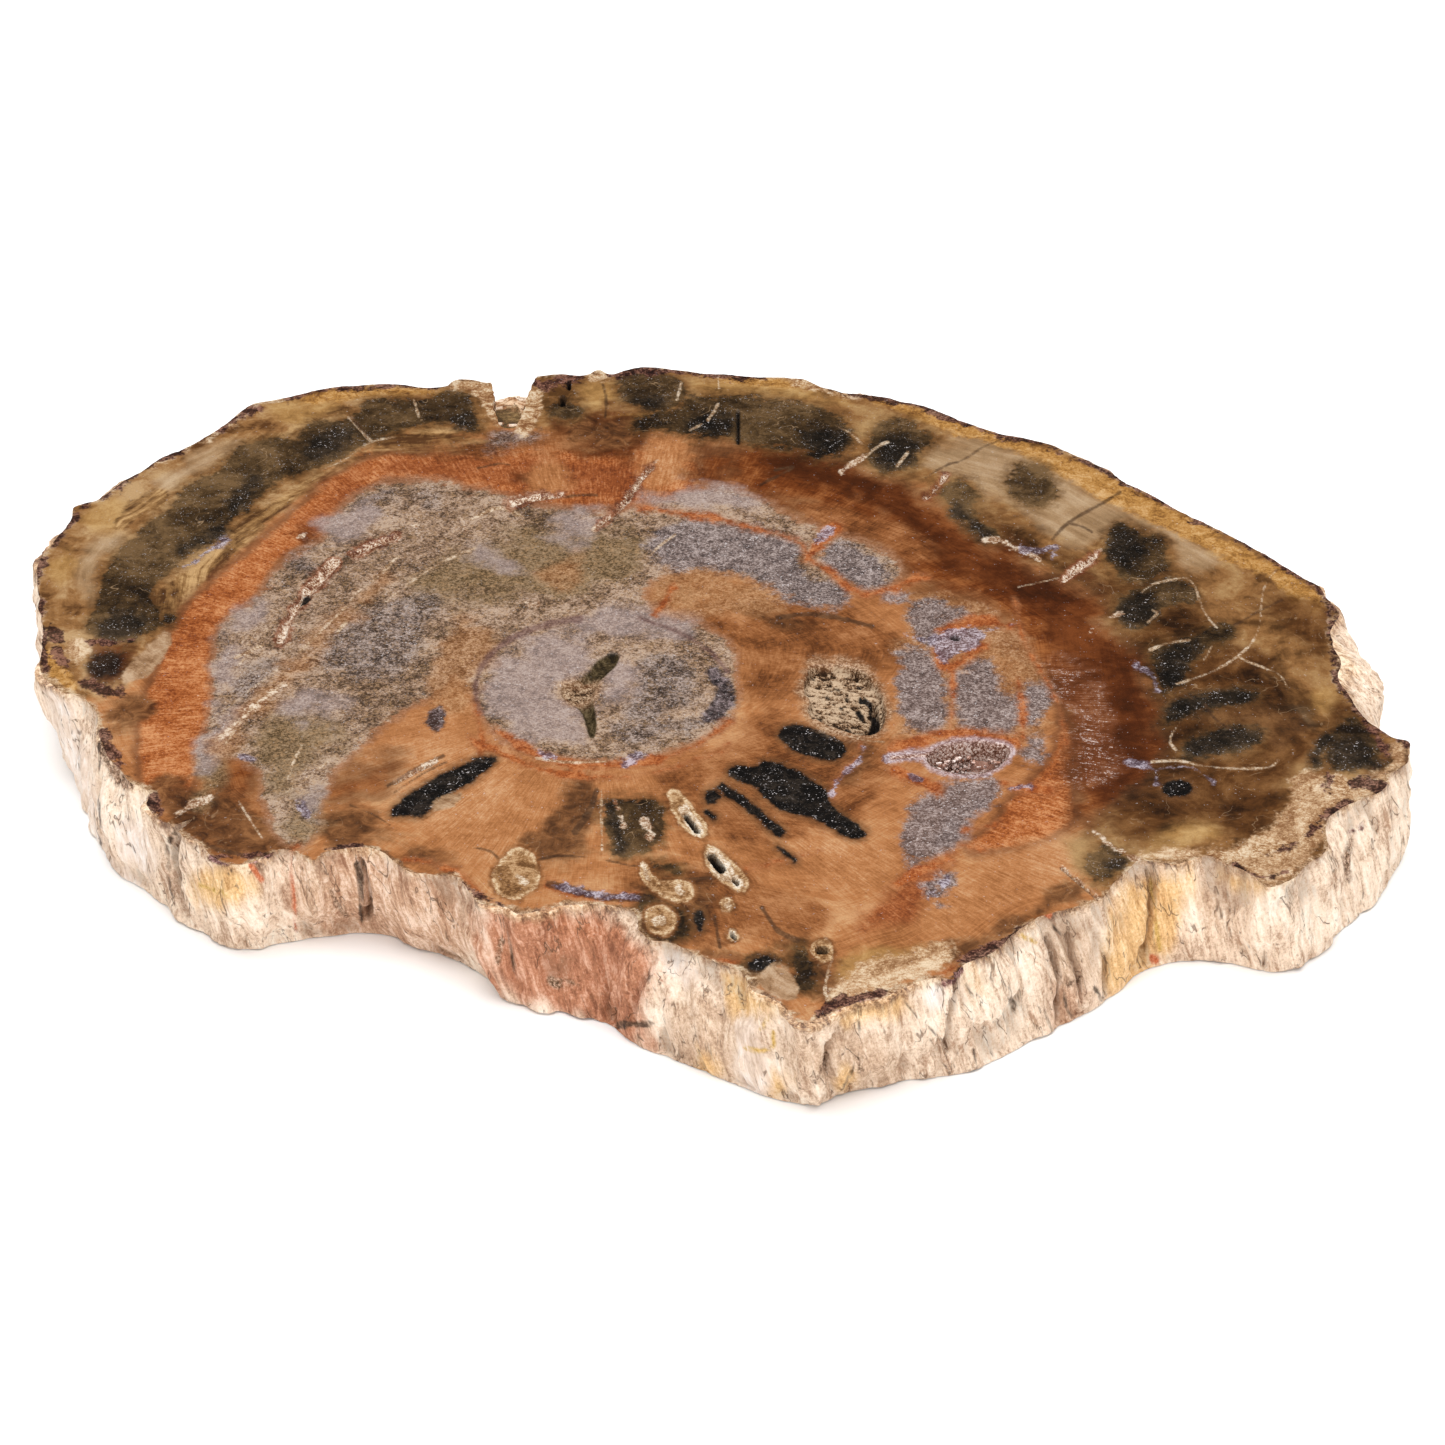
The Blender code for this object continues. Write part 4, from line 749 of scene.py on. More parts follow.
# How the markings are painted, lowest first: marking, how far it is grown in pixels, dark, middle and light
# tone, softness and raggedness of its edge in pixels, how much it covers, and each texture's share in it.
layerLooks = [
    ("ochre", 0, (.11, .044, .013), (.315, .15, .052), (.52, .33, .16), 8, 6, 1,
     {"cloud": 1.4, "mottle": .6, "flow": .4, "threads": .4}),
    ("tan", 0, (.1, .042, .012), (.285, .132, .044), (.45, .27, .115), 9, 8, 1,
     {"cloud": 1.3, "mottle": .5, "flow": .4, "threads": .35}),
    ("putty", 0, (.26, .15, .068), (.42, .27, .145), (.57, .41, .26), 9, 8, .85, {"cloud": .7, "flow": .8}),
    ("honey", 0, (.2, .095, .027), (.42, .225, .072), (.58, .36, .145), 9, 8, .85,
     {"cloud": .8, "mottle": .6, "flow": .4}),
    ("goldenBand", 0, (.2, .08, .02), (.5, .245, .062), (.7, .43, .19), 3, 7, .95,
     {"mottle": 1, "cloud": .4, "grain": .6, "flow": .4}),
    ("flowGold", 0, (.075, .03, .01), (.29, .148, .052), (.6, .37, .165), 3, 5, .92,
     {"flow": 1.7, "mottle": .7}),
    ("umber", 0, (.02, .007, .002), (.092, .033, .008), (.2, .085, .026), 12, 12, .95,
     {"cloud": 1.4, "mottle": .5, "flow": .4, "threads": .45}),
    ("ember", 8, (.08, .026, .01), (.17, .055, .02), (.28, .1, .04), 6, 5, .75, {"cloud": .7, "mottle": .5}),
    ("ember", 0, (.19, .042, .01), (.42, .122, .031), (.66, .29, .12), 4, 5, 1,
     {"cloud": .6, "mottle": .6, "rays": .5, "grain": .8, "strokes": .3, "glint": .1}),
    ("redBack", 0, (.13, .03, .01), (.3, .08, .022), (.5, .18, .065), 11, 10, .95,
     {"cloud": .5, "mottle": .5, "rays": .4, "grain": .6, "strokes": .2}),
    ("paleOrange", 0, (.3, .11, .034), (.49, .205, .076), (.66, .37, .19), 10, 8, .9,
     {"cloud": .6, "mottle": .4, "rays": .5, "grain": .4}),
    ("rust", 14, (.045, .019, .008), (.1, .038, .014), (.18, .075, .027), 12, 10, .7,
     {"cloud": .9, "mottle": .5}),
    ("rust", 0, (.06, .014, .003), (.165, .04, .0075), (.36, .125, .036), 13, 12, 1,
     {"cloud": 1.1, "mottle": .5, "rings": .3, "rays": .3}),
    ("maroon", 0, (.035, .009, .002), (.078, .018, .0035), (.18, .048, .011), 10, 10, .97,
     {"cloud": 1.1, "mottle": .4, "rings": .15}),
    ("frost", 0, (.07, .018, .004), (.17, .052, .018), (.36, .17, .095), 12, 12, .75,
     {"cloud": .7, "mottle": .5, "rays": .3, "frost": 1.15}),
    ("softBrown", 0, (.1, .03, .008), (.28, .097, .029), (.46, .2, .08), 12, 12, .92,
     {"cloud": 1.2, "mottle": .5, "rays": .3, "rings": .4, "grain": .3}),
    ("brownCloud", 0, (.035, .014, .006), (.13, .05, .017), (.28, .12, .044), 9, 12, .88,
     {"cloud": .8, "mottle": 1.1, "threads": .4}),
    ("heart", 6, (.2, .085, .04), (.33, .155, .08), (.48, .27, .17), 4, 7, .7, {"mottle": .6, "grain": 1}),
    ("heart", 0, (.07, .04, .022), (.285, .172, .108), (.53, .385, .28), 3, 8, 1,
     {"mottle": 1.2, "drift": .35, "cloud": .85, "grain": 1.3, "glint": .5, "sand": .4, "threads": .5}),
    ("oliveGrain", 0, (.05, .03, .012), (.19, .118, .055), (.37, .25, .14), 12, 12, .85,
     {"grain": 1.1, "mottle": .6, "sand": .5}),
    ("shadowGrain", 0, (.03, .02, .016), (.145, .104, .088), (.41, .33, .3), 9, 12, .75,
     {"grain": 1.5, "mottle": 1.1, "glint": 1, "sand": .3}),
    ("lilac", 0, (.19, .137, .124), (.37, .28, .258), (.53, .45, .43), 10, 14, .68,
     {"grain": .8, "mottle": .4, "glint": .8}),
    ("warmSand", 0, (.16, .055, .016), (.35, .155, .06), (.58, .34, .18), 10, 12, .75,
     {"grain": 1.1, "mottle": .8, "drift": .2, "sand": .3}),
    ("coldGrain", 3, (.06, .045, .042), (.18, .132, .124), (.46, .38, .36), 6.5, 14, .9,
     {"grain": 1.3, "mottle": .8, "glint": 1.1}),
    ("dusk", 0, (.012, .009, .011), (.055, .042, .046), (.26, .2, .21), 3, 7, .92,
     {"mottle": 1.5, "grain": .9, "glint": .8}),
    ("pithRing", 0, (.07, .03, .026), (.17, .09, .078), (.3, .18, .155), 2.5, 3, .75,
     {"mottle": .8, "grain": .6}),
    ("veins", 2, (.24, .07, .02), (.36, .13, .05), (.5, .22, .1), 4, 6, .65, {"mottle": .9, "grain": .7}),
    ("veins", -.8, (.2, .036, .008), (.4, .1, .022), (.6, .22, .075), 2.5, 7, .82,
     {"mottle": 1.2, "grain": .9}),
    ("smoke", 5, (.055, .024, .007), (.14, .064, .02), (.27, .145, .056), 7, 10, .8,
     {"cloud": .8, "mottle": .7}),
    ("smoke", 0, (.01, .0055, .0025), (.06, .033, .0125), (.17, .098, .042), 2.4, 8, .96,
     {"cloud": 1.3, "mottle": .6, "grain": .35, "glint": .4, "threads": .6}),
    ("pitch", 3, (.002, .0016, .0014), (.011, .008, .0055), (.05, .034, .022), 7, 8, .9,
     {"mottle": .6, "cloud": .6, "grain": .5, "glint": .8}),
    ("ink", 4, (.06, .026, .01), (.14, .06, .022), (.24, .11, .04), 4, 4, .65, {"mottle": .8}),
    ("ink", 0, (.001, .001, .001), (.0065, .0045, .0035), (.05, .036, .026), 1.8, 3.5, 1,
     {"mottle": .8, "grain": .4, "glint": .8}),
    ("darkLines", 0, (.02, .01, .006), (.07, .033, .016), (.15, .075, .035), 1.1, 1.6, .75, {"mottle": 1}),
    ("shelf", 0, (.27, .125, .052), (.56, .345, .185), (.82, .64, .44), 4, 11, .95,
     {"mottle": .8, "grain": .9, "cloud": .5, "flow": .9}),
    ("paleRim", 0, (.22, .09, .034), (.5, .29, .14), (.8, .63, .44), 2.5, 7, .95,
     {"mottle": 1.7, "grain": 1}),
    ("tanShelf", 0, (.22, .11, .048), (.42, .255, .14), (.6, .42, .27), 2, 5, .95,
     {"flow": 1, "mottle": .8, "grain": .3}),
    ("rim", 0, (.12, .055, .025), (.42, .25, .13), (.76, .6, .42), 2.5, 8, .85,
     {"mottle": 1.5, "grain": .9, "cloud": .6}),
    ("crustLine", 0, (.012, .005, .005), (.062, .02, .016), (.3, .14, .095), 1.6, 9, .92,
     {"grain": 1.2, "mottle": 1.5}),
    ("cream", -.8, (.22, .09, .04), (.52, .33, .2), (.86, .72, .57), 1.3, 6, .85,
     {"grain": 1.6, "mottle": 1.8}),
    ("hairs", -.2, (.24, .12, .055), (.54, .36, .21), (.84, .7, .54), .9, 1.5, .78,
     {"grain": 1.4, "mottle": 1.5}),
    ("blue", -.5, (.07, .045, .06), (.2, .15, .185), (.6, .54, .62), 1.8, 7, .8,
     {"grain": 1.3, "mottle": 1.5, "glint": .8}),
    ("eyes", 3, (.08, .028, .008), (.22, .08, .024), (.4, .18, .07), 2.5, 4, .8, {"mottle": 1.2}),
    ("eyes", 0, (.26, .12, .045), (.56, .345, .175), (.82, .64, .42), 1.3, 3, .96,
     {"mottle": 1.4, "grain": 1}),
    ("eyes", -3.2, (.13, .055, .018), (.32, .155, .058), (.56, .34, .17), 1.6, 4, .9,
     {"mottle": 1.5, "grain": .8}),
    ("eyeRings", 0, (.36, .21, .11), (.7, .52, .35), (.93, .84, .7), 1.4, 4, .92,
     {"grain": 1.3, "mottle": 1.3}),
    ("druseWall", 5, (.2, .12, .12), (.44, .32, .33), (.74, .64, .68), 2.5, 4, .8,
     {"grain": 1.3, "mottle": .8, "glint": .8}),
    ("druseWall", 1, (.13, .05, .03), (.42, .225, .165), (.84, .66, .58), 2, 2, 1,
     {"grain": 1.9, "mottle": .9}),
    ("crystalBrown", 0, (.014, .009, .004), (.06, .04, .016), (.17, .12, .06), 1.5, 2, 1,
     {"mottle": 1.2, "grain": .7}),
    ("sponge", 7, (.15, .06, .024), (.31, .165, .085), (.62, .42, .27), 5, 6, .85,
     {"grain": 1.7, "mottle": .8}),
    # Painted shade: the web darkens the sponge's colour in its pits and between its sheets.
    ("sponge", 0, (.03, .014, .006), (.27, .15, .078), (.62, .45, .3), 1.5, 2, 1,
     {"web": .6, "grain": 1.5, "mottle": 1.4}),
    # Painted shade: a darker orange-brown band along the trenches' edges.
    ("trench", 2.5, (.09, .022, .009), (.24, .07, .028), (.42, .18, .09), 2.5, 7, .75,
     {"mottle": 1.3, "grain": .8}),
    ("trench", -.8, (.16, .055, .028), (.54, .33, .2), (.92, .8, .66), 1.3, 5.5, .95,
     {"grain": 1.8, "mottle": 1.6}),
    # Painted shade in the holes and painted shadow under the druse's lip.
    ("holeShade", 0, (.004, .003, .003), (.012, .009, .007), (.05, .03, .02), 1.2, 1, 1, {"grain": 1}),
]

# Small things that are strewn over a layer, and their colour; the glints are painted highlights.
flecks = {
    "glint": (.78, .72, .72),
    "strokes": (.68, .36, .17),
    "frost": (.78, .63, .57),
    "threads": (.46, .3, .17),
    "sand": (.5, .3, .15),
}

# The rough side: markings are seen from the front in the photograph's pixels.
barkMarkings = {
    "blush": [
        (0, 285, 845, 360, 845, 400, 860, 470, 885, 478, 970, 400, 955, 340, 940, 296, 945),
        (0, 540, 900, 640, 925, 640, 950, 560, 940), (0, 1050, 980, 1090, 985, 1085, 1030, 1050, 1035),
    ],
    "salmon": [
        (0, 476, 890, 520, 905, 590, 905, 640, 925, 662, 950, 668, 975, 658, 1000, 655, 1060, 620, 1050,
         560, 1020, 500, 990, 485, 950),
        (0, 618, 1026, 662, 1030, 662, 1060, 630, 1055), (6, 662, 965, 664, 1000),
    ],
    "beige": [
        (0, 664, 990, 738, 1000, 738, 1095, 664, 1066),
        (0, 780, 1030, 900, 1040, 900, 1085, 840, 1095, 790, 1070),
        (0, 1060, 930, 1090, 930, 1090, 985, 1060, 985), (0, 1190, 880, 1225, 880, 1225, 945, 1200, 945),
        (0, 300, 850, 330, 855, 320, 930, 305, 935),
    ],
    "notchTan": [
        (0, 484, 368, 552, 368, 554, 440, 530, 454, 500, 450, 484, 430),
    ],
    "notchBrown": [
        (0, 493, 408, 521, 402, 525, 431, 500, 434, 491, 420),
    ],
    "golden": [
        (0, 1114, 890, 1140, 868, 1200, 860, 1198, 930, 1158, 975, 1118, 1002, 1110, 950),
        (0, 715, 965, 800, 1000, 780, 1020, 740, 1012, 720, 985),
        (0, 835, 1000, 900, 990, 900, 1010, 850, 1020), (0, 1215, 868, 1290, 880, 1270, 900, 1225, 890),
        (0, 190, 862, 245, 868, 250, 900, 200, 905), (6, 975, 968, 982, 985, 986, 1000),
        (0, 765, 1080, 782, 1080, 786, 1092, 770, 1092), (0, 838, 1088, 852, 1068, 855, 1090),
        (4, 705, 1062, 712, 1070),
    ],
    "white": [
        (0, 738, 1020, 760, 1018, 762, 1050, 770, 1075, 765, 1100, 745, 1098, 736, 1060),
        (0, 38, 670, 70, 695, 92, 760, 100, 850, 150, 885, 120, 900, 80, 800, 50, 730),
        (0, 110, 810, 150, 825, 160, 880, 120, 860), (0, 920, 990, 945, 985, 945, 1010, 925, 1010),
        (0, 655, 945, 700, 960, 705, 985, 668, 985),
    ],
    "ochreLines": [
        (3, 745, 1048, 762, 1052, 775, 1046, 773, 1032), (3, 768, 1018, 760, 1030), (3, 1020, 935, 1035, 942),
        (5, 1150, 880, 1155, 920, 1160, 950), (3, 108, 720, 130, 735), (4, 200, 885, 230, 895),
        (3, 230, 830, 200, 840),
    ],
    "rustSpots": [
        (0, 1148, 952, 1160, 955, 1160, 966, 1150, 964), (5, 1040, 906, 1048, 914), (3, 640, 965, 662, 980),
        (3, 290, 850, 296, 930), (3, 250, 865, 262, 880),
    ],
    "purple": [
        (7, 104, 735, 110, 752, 132, 776), (8, 152, 800, 160, 816), (8, 212, 858, 226, 860),
        (7, 250, 858, 268, 853), (8, 818, 1014, 838, 1004), (6, 860, 998, 880, 994), (7, 946, 984, 960, 970),
        (5, 80, 690, 110, 702), (5, 100, 706, 130, 714), (5, 1330, 770, 1335, 790), (4, 1300, 830, 1330, 815),
        (4, 1262, 870, 1300, 860), (7, 1352, 832, 1362, 826),
    ],
    "brownRough": [
        (9, 1350, 842, 1346, 862, 1350, 880), (8, 100, 745, 110, 770, 128, 785), (10, 550, 982, 572, 984),
        (4, 330, 890, 345, 915), (6, 858, 1055, 862, 1070), (6, 1064, 985, 1080, 980),
        (8, 825, 1055, 818, 1080), (5, 1280, 860, 1310, 850), (5, 1310, 815, 1340, 805),
        (4, 500, 940, 498, 960),
    ],
    "cracks": [
        (5, 178, 828, 166, 845, 168, 870, 173, 898), (2.4, 97, 700, 100, 760, 99, 800, 101, 845),
        (5.5, 357, 864, 361, 880, 361, 922), (5, 652, 948, 648, 975, 648, 1012), (9, 620, 1025, 652, 1024),
        (3, 578, 946, 590, 938, 602, 934), (3, 503, 915, 510, 940, 515, 975),
        (3, 858, 1018, 862, 1045, 852, 1072, 842, 1090), (2.4, 828, 1045, 822, 1066, 818, 1084),
        (2, 900, 995, 920, 1020, 945, 1042, 972, 1076), (2, 930, 1040, 942, 1060, 950, 1074),
        (2.4, 942, 1000, 940, 1030), (2, 950, 1036, 962, 1060), (3, 966, 984, 975, 1000),
        (3, 974, 1050, 976, 1070), (2, 1003, 982, 1013, 992), (7, 1012, 1000, 1015, 1011),
        (4, 1044, 1008, 1052, 1032), (4, 1064, 988, 1066, 1008, 1074, 1020), (4, 1094, 988, 1102, 1000),
        (2.4, 1153, 885, 1154, 950), (2, 1225, 880, 1235, 945), (2.4, 1370, 860, 1362, 900),
        (2, 1052, 925, 1062, 935), (2, 965, 945, 990, 958), (2, 225, 880, 232, 870), (2, 78, 720, 80, 770),
    ],
}

barkLooks = [
    ("notchTan", 0, (.1, .038, .014), (.34, .16, .066), (.7, .5, .33), 3, 5, 1, {"fibre": .8, "mottle": 1.4}),
    ("notchBrown", 0, (.035, .018, .006), (.12, .066, .02), (.27, .165, .066), 3, 6, 1,
     {"fibre": .8, "mottle": 1.2}),
    ("blush", 0, (.28, .13, .07), (.56, .34, .215), (.84, .64, .5), 14, 14, 1,
     {"fibre": 1, "cloud": .7, "mottle": .6, "grain": .5}),
    ("beige", 0, (.32, .19, .115), (.6, .415, .285), (.82, .65, .5), 14, 14, 1,
     {"fibre": .9, "grain": .6, "mottle": .6}),
    ("golden", 0, (.42, .21, .07), (.74, .46, .21), (.93, .72, .45), 12, 14, 1, {"fibre": .9, "grain": .5}),
    ("salmon", 0, (.21, .068, .03), (.44, .165, .075), (.7, .39, .26), 14, 16, .93,
     {"fibre": 1, "cloud": .8, "mottle": .6, "grain": .5}),
    ("white", 0, (.48, .32, .22), (.77, .62, .51), (.94, .88, .84), 8, 12, .9, {"fibre": .7, "cloud": .8}),
    ("ochreLines", 0, (.3, .15, .03), (.58, .36, .09), (.75, .5, .2), 2, 3, 1, {"grain": 1}),
    ("rustSpots", 0, (.25, .06, .02), (.5, .13, .05), (.7, .3, .15), 2, 4, 1, {"grain": 1}),
    ("purple", 0, (.03, .012, .012), (.16, .06, .05), (.5, .3, .27), 2, 6, 1, {"grain": 1.4, "cloud": .5}),
    ("brownRough", 0, (.06, .03, .015), (.25, .14, .08), (.6, .42, .3), 3, 7, 1, {"grain": 1.6}),
    ("cracks", -.5, (.016, .009, .005), (.055, .03, .017), (.2, .12, .07), 1.4, 2.5, .88,
     {"grain": 1, "mottle": 1}),
]

# Hollows of the polished face: depth in mm, width of their sides in pixels, shapes.
pockets = {
    "sponge": (2.4, 3, [
        (0, 806, 712, 812, 700, 803, 694, 806, 672, 814, 664, 830, 666, 845, 664, 866, 672, 878, 684,
         885, 700, 886, 718, 879, 733, 862, 736, 845, 731, 820, 722),
    ]),
    "sponge end": (4.5, 4, [
        (0, 866, 698, 874, 690, 881, 700, 883, 718, 875, 731, 862, 733, 857, 727, 868, 720, 872, 710),
    ]),
    "druse": (9, 5, [
        (0, 924, 758, 938, 747, 960, 742, 988, 742, 1010, 746, 1008, 757, 995, 768, 975, 774, 950, 772,
         934, 766),
    ]),
    "star": (1.5, 4, [
        (0, 611, 652, 620, 654, 617, 664, 608, 673, 599, 681, 595, 691, 592, 700, 595, 712, 597, 727,
         594, 739, 589, 737, 585, 722, 581, 710, 571, 703, 563, 699, 559, 690, 563, 683, 573, 681, 583, 675,
         592, 665, 602, 656),
    ]),
    "trenches": (1.1, 3, [
        (9, 335, 562, 318, 580, 300, 600, 288, 620, 280, 640), (6, 352, 555, 370, 545, 394, 537),
        (5, 512, 504, 530, 499, 562, 495), (5, 600, 523, 625, 505, 632, 490, 652, 466),
        (7, 926, 496, 945, 477), (7, 1064, 579, 1096, 554), (4, 1062, 868, 1098, 898),
        (4, 352, 418, 368, 438), (4, 394, 783, 436, 761),
    ]),
    "pits": (1.8, 3, [
        (9, 303, 600, 308, 596), (5, 738, 412, 738, 442), (8, 953, 636, 957, 637),
    ]),
    "borer holes": (5, 2.5, [
        (5, 686, 816, 697, 831), (8, 711, 856, 721, 869), (4.5, 734, 880, 737, 883), (7, 563, 399, 562, 403),
        (4, 569, 382, 569, 388), (4, 732, 934, 735, 938), (8, 820, 950, 824, 950),
    ]),
}

# How the pockets are sunk and their floors roughened: depths and sizes in mm, reach in pixels.
pocketFloor = {
    "reach": 12,
    "lip": .15,
    "least": .2,
    "spongeReach": 6,
    "sheet": (7, 1.5, .1),
    "cell": (1.3, .7),
    "pit": (1.2, .9),
    "pitFrom": .33,
    "webDepth": .45,
    "grain": .8,
    "grainDepth": .5,
    "hollowAt": 1.5,
    "deepAt": 9,
}
markings["crystalBrown"] = pockets["star"][2]
markings["sponge"] = pockets["sponge"][2] + [
    (0, 562, 690, 566, 684, 580, 684, 596, 681, 594, 691, 584, 698, 571, 699),
]
markings["druseWall"] = pockets["druse"][2] + [
    (1.5, 892, 758, 910, 756, 930, 755),
]
markings["trench"] = pockets["trenches"][2][:6]
# Painted shade: the borer holes, pits and the sponge's small holes are painted near black, and a painted
# shadow runs along the druse's lower lip.
markings["holeShade"] = pockets["borer holes"][2] + [
    (8, 304, 601, 307, 596), (3.4, 738, 412, 738, 442), (9, 873, 704, 877, 716, 868, 730),
    (6, 862, 692, 870, 696), (5, 858, 704, 862, 710), (3, 836, 681, 839, 682), (2.6, 812, 671, 814, 672),
    (2.6, 826, 689, 829, 690), (2.6, 819, 711, 821, 712), (3, 846, 722, 850, 723), (2.6, 858, 679, 861, 680),
    (2.6, 840, 700, 842, 701), (2.6, 812, 718, 815, 718), (2.4, 829, 722, 831, 722),
    (2.4, 846, 690, 848, 690), (5, 932, 763, 944, 768), (4, 958, 771, 975, 773, 998, 765),
    (5, 953, 636, 957, 637),
]


def smoothStep(low, high, value):
    share = np.clip((value - low) / (high - low), 0, 1)
    return share * share * (3 - 2 * share)


def facePlaces(points):
    return photoPlaces(points[:, 0], points[:, 1], np.full(len(points), slab["thickness"]))


# The bark as a tube of rings, with how far it stands out kept for the painted shade in its crevices.
def slabTube(bm):
    closed, travelled = traceRim()
    length = travelled[-1]
    sides = round(length / slab["stationSpacing"])
    distance = np.arange(sides) * length / sides
    steps = [rimAt(closed, travelled, distance + k * slab["footSmoothing"]) for k in (-2, -1, 0, 1, 2)]
    rim = steps[2][:, :2]
    foot = sum(step[:, :2] for step in steps) / 5
    lean = sum(step[:, 2] for step in steps) / 5
    ahead = steps[4][:, :2] - steps[0][:, :2]
    outward = np.stack([-ahead[:, 1], ahead[:, 0]], axis=1) / np.hypot(ahead[:, 0], ahead[:, 1])[:, None]
    reliefLayer = bm.verts.layers.float.new("relief")
    rings = stackedRings(bm, sides, len(slab["levels"]))
    cracks = []
    for place, width, depth, low, high in barkCracks:
        at = nearestDistance(closed, travelled, place)
        cracks.append((at, width * mm, depth * mm, low * mm, high * mm))
    (past, within), (inner, outer) = crackShape["ends"], crackShape["sides"]
    fromShoulder = distance - nearestDistance(closed, travelled, shoulder["place"])
    for share, ring in zip(slab["levels"], rings):
        height = share * slab["thickness"]
        out = lean * (1 - share) + slab["belly"] * 4 * share * (1 - share)
        out = out + shoulderRelief(fromShoulder, share)
        sunk = np.zeros(sides)
        for at, width, depth, low, high in cracks:
            wander = at + width * crackShape["wander"] * math.sin(height / crackShape["wave"] + at * 900)
            aside = np.abs((distance - wander + length / 2) % length - length / 2)
            ends = smoothStep(low - past, low + within, height)
            ends *= 1 - smoothStep(high - within, high + past, height)
            sunk += depth * (1 - smoothStep(width * inner, width * outer, aside)) * ends
        place = rim + (foot - rim) * (1 - share) * slab["footShare"]
        for i, v in enumerate(ring):
            relief = barkRelief(rim[i, 0], rim[i, 1], height, share) - sunk[i]
            x, y = place[i] + outward[i] * (out[i] + relief)
            v.co = (x, y, height)
            v[reliefLayer] = relief / mm
    return rings


# Cuts the faces of the polished side more finely where small markings and hollows are.
def refineDetail(bm, faceVerts, shapes):
    faces = [f for f in bm.faces if all(v in faceVerts for v in f.verts)]
    middles = np.array([f.calc_center_median() for f in faces])
    field = markField(facePlaces(middles), shapes, slab["detailReach"] * 2)
    edges = dict.fromkeys(e for f, value in zip(faces, field) if value > -.5 for e in f.edges)
    bmesh.ops.subdivide_edges(bm, edges=list(edges), cuts=slab["detailCuts"], use_grid_fill=True)


# A lumpy plug that breaks the notch out of the back edge.
def notchCutter(materials):
    noise.seed_set(notch["seed"])
    plan = rounded(notch["plan"], True, 2) * mm + np.array(slab["shift"]) * mm
    bm = bmesh.new()
    rings = stackedRings(bm, len(plan), notch["layers"])
    top = slab["thickness"] + notch["rise"]
    for level, ring in enumerate(rings):
        share = level / (notch["layers"] - 1)
        height = top + (notch["ledge"] - top) * share
        middle = plan.mean(0)
        for place, v in zip(plan, ring):
            x, y = middle + (place - middle) * (notch["taper"][0] - notch["taper"][1] * share)
            v.co = (x, y, height)
    bmesh.ops.holes_fill(bm, edges=[e for e in bm.edges if e.is_boundary], sides=0)
    bmesh.ops.triangulate(bm, faces=bm.faces)
    bmesh.ops.subdivide_edges(bm, edges=[e for e in bm.edges if e.calc_length() > notch["longest"]], cuts=2)
    bmesh.ops.triangulate(bm, faces=bm.faces)
    for v in bm.verts:
        shift = noise.noise_vector(v.co / notch["lumps"][0]) + noise.noise_vector(v.co / notch["lumps"][1])
        v.co += shift * notch["rough"]
    bmesh.ops.recalc_face_normals(bm, faces=bm.faces)
    for face in bm.faces:
        face.material_index = 1
    return newObject("notch cutter", bm, materials)


def newObject(name, bm, materials):
    mesh = bpy.data.meshes.new(name)
    bm.to_mesh(mesh)
    bm.free()
    made = bpy.data.objects.new(name, mesh)
    bpy.context.scene.collection.objects.link(made)
    for material in materials:
        mesh.materials.append(material)
    return made


def cutAway(body, cutter):
    modifier = body.modifiers.new("notch", "BOOLEAN")
    modifier.object = cutter
    modifier.operation = "DIFFERENCE"
    modifier.solver = "EXACT"
    bpy.context.view_layer.update()
    mesh = bpy.data.meshes.new_from_object(body.evaluated_get(bpy.context.evaluated_depsgraph_get()))
    body.modifiers.clear()
    body.data = mesh
    bpy.data.objects.remove(cutter, do_unlink=True)


# After the cut: takes out points that only split an edge between two faces, and splits evenly each face that
# has many corners or three or more along the top, so that no triangle lies on another or has no area.
def clearMesh(mesh):
    bm = bmesh.new()
    bm.from_mesh(mesh)
    spare = [v for v in bm.verts if len(v.link_edges) == 2]
    for v in spare:
        if all(len(f.verts) > 3 for f in v.link_faces):
            bmesh.utils.vert_collapse_edge(v, v.link_edges[0])
    top = slab["thickness"] - flatGap
    many = [f for f in bm.faces if len(f.verts) > 4
            or len(f.verts) == 4 and sum(v.co.z > top for v in f.verts) > 2]
    bmesh.ops.triangulate(bm, faces=many, quad_method="BEAUTY", ngon_method="BEAUTY")
    bm.to_mesh(mesh)
    bm.free()
    print("spare points", len(spare), "faces split", len(many))


def readVectors(items, field):
    values = np.empty(len(items) * 3, np.float32)
    items.foreach_get(field, values)
    return values.reshape(-1, 3)


def storeField(mesh, name, values):
    mesh.attributes.new(name, "FLOAT", "POINT").data.foreach_set("value", np.asarray(values, np.float32))


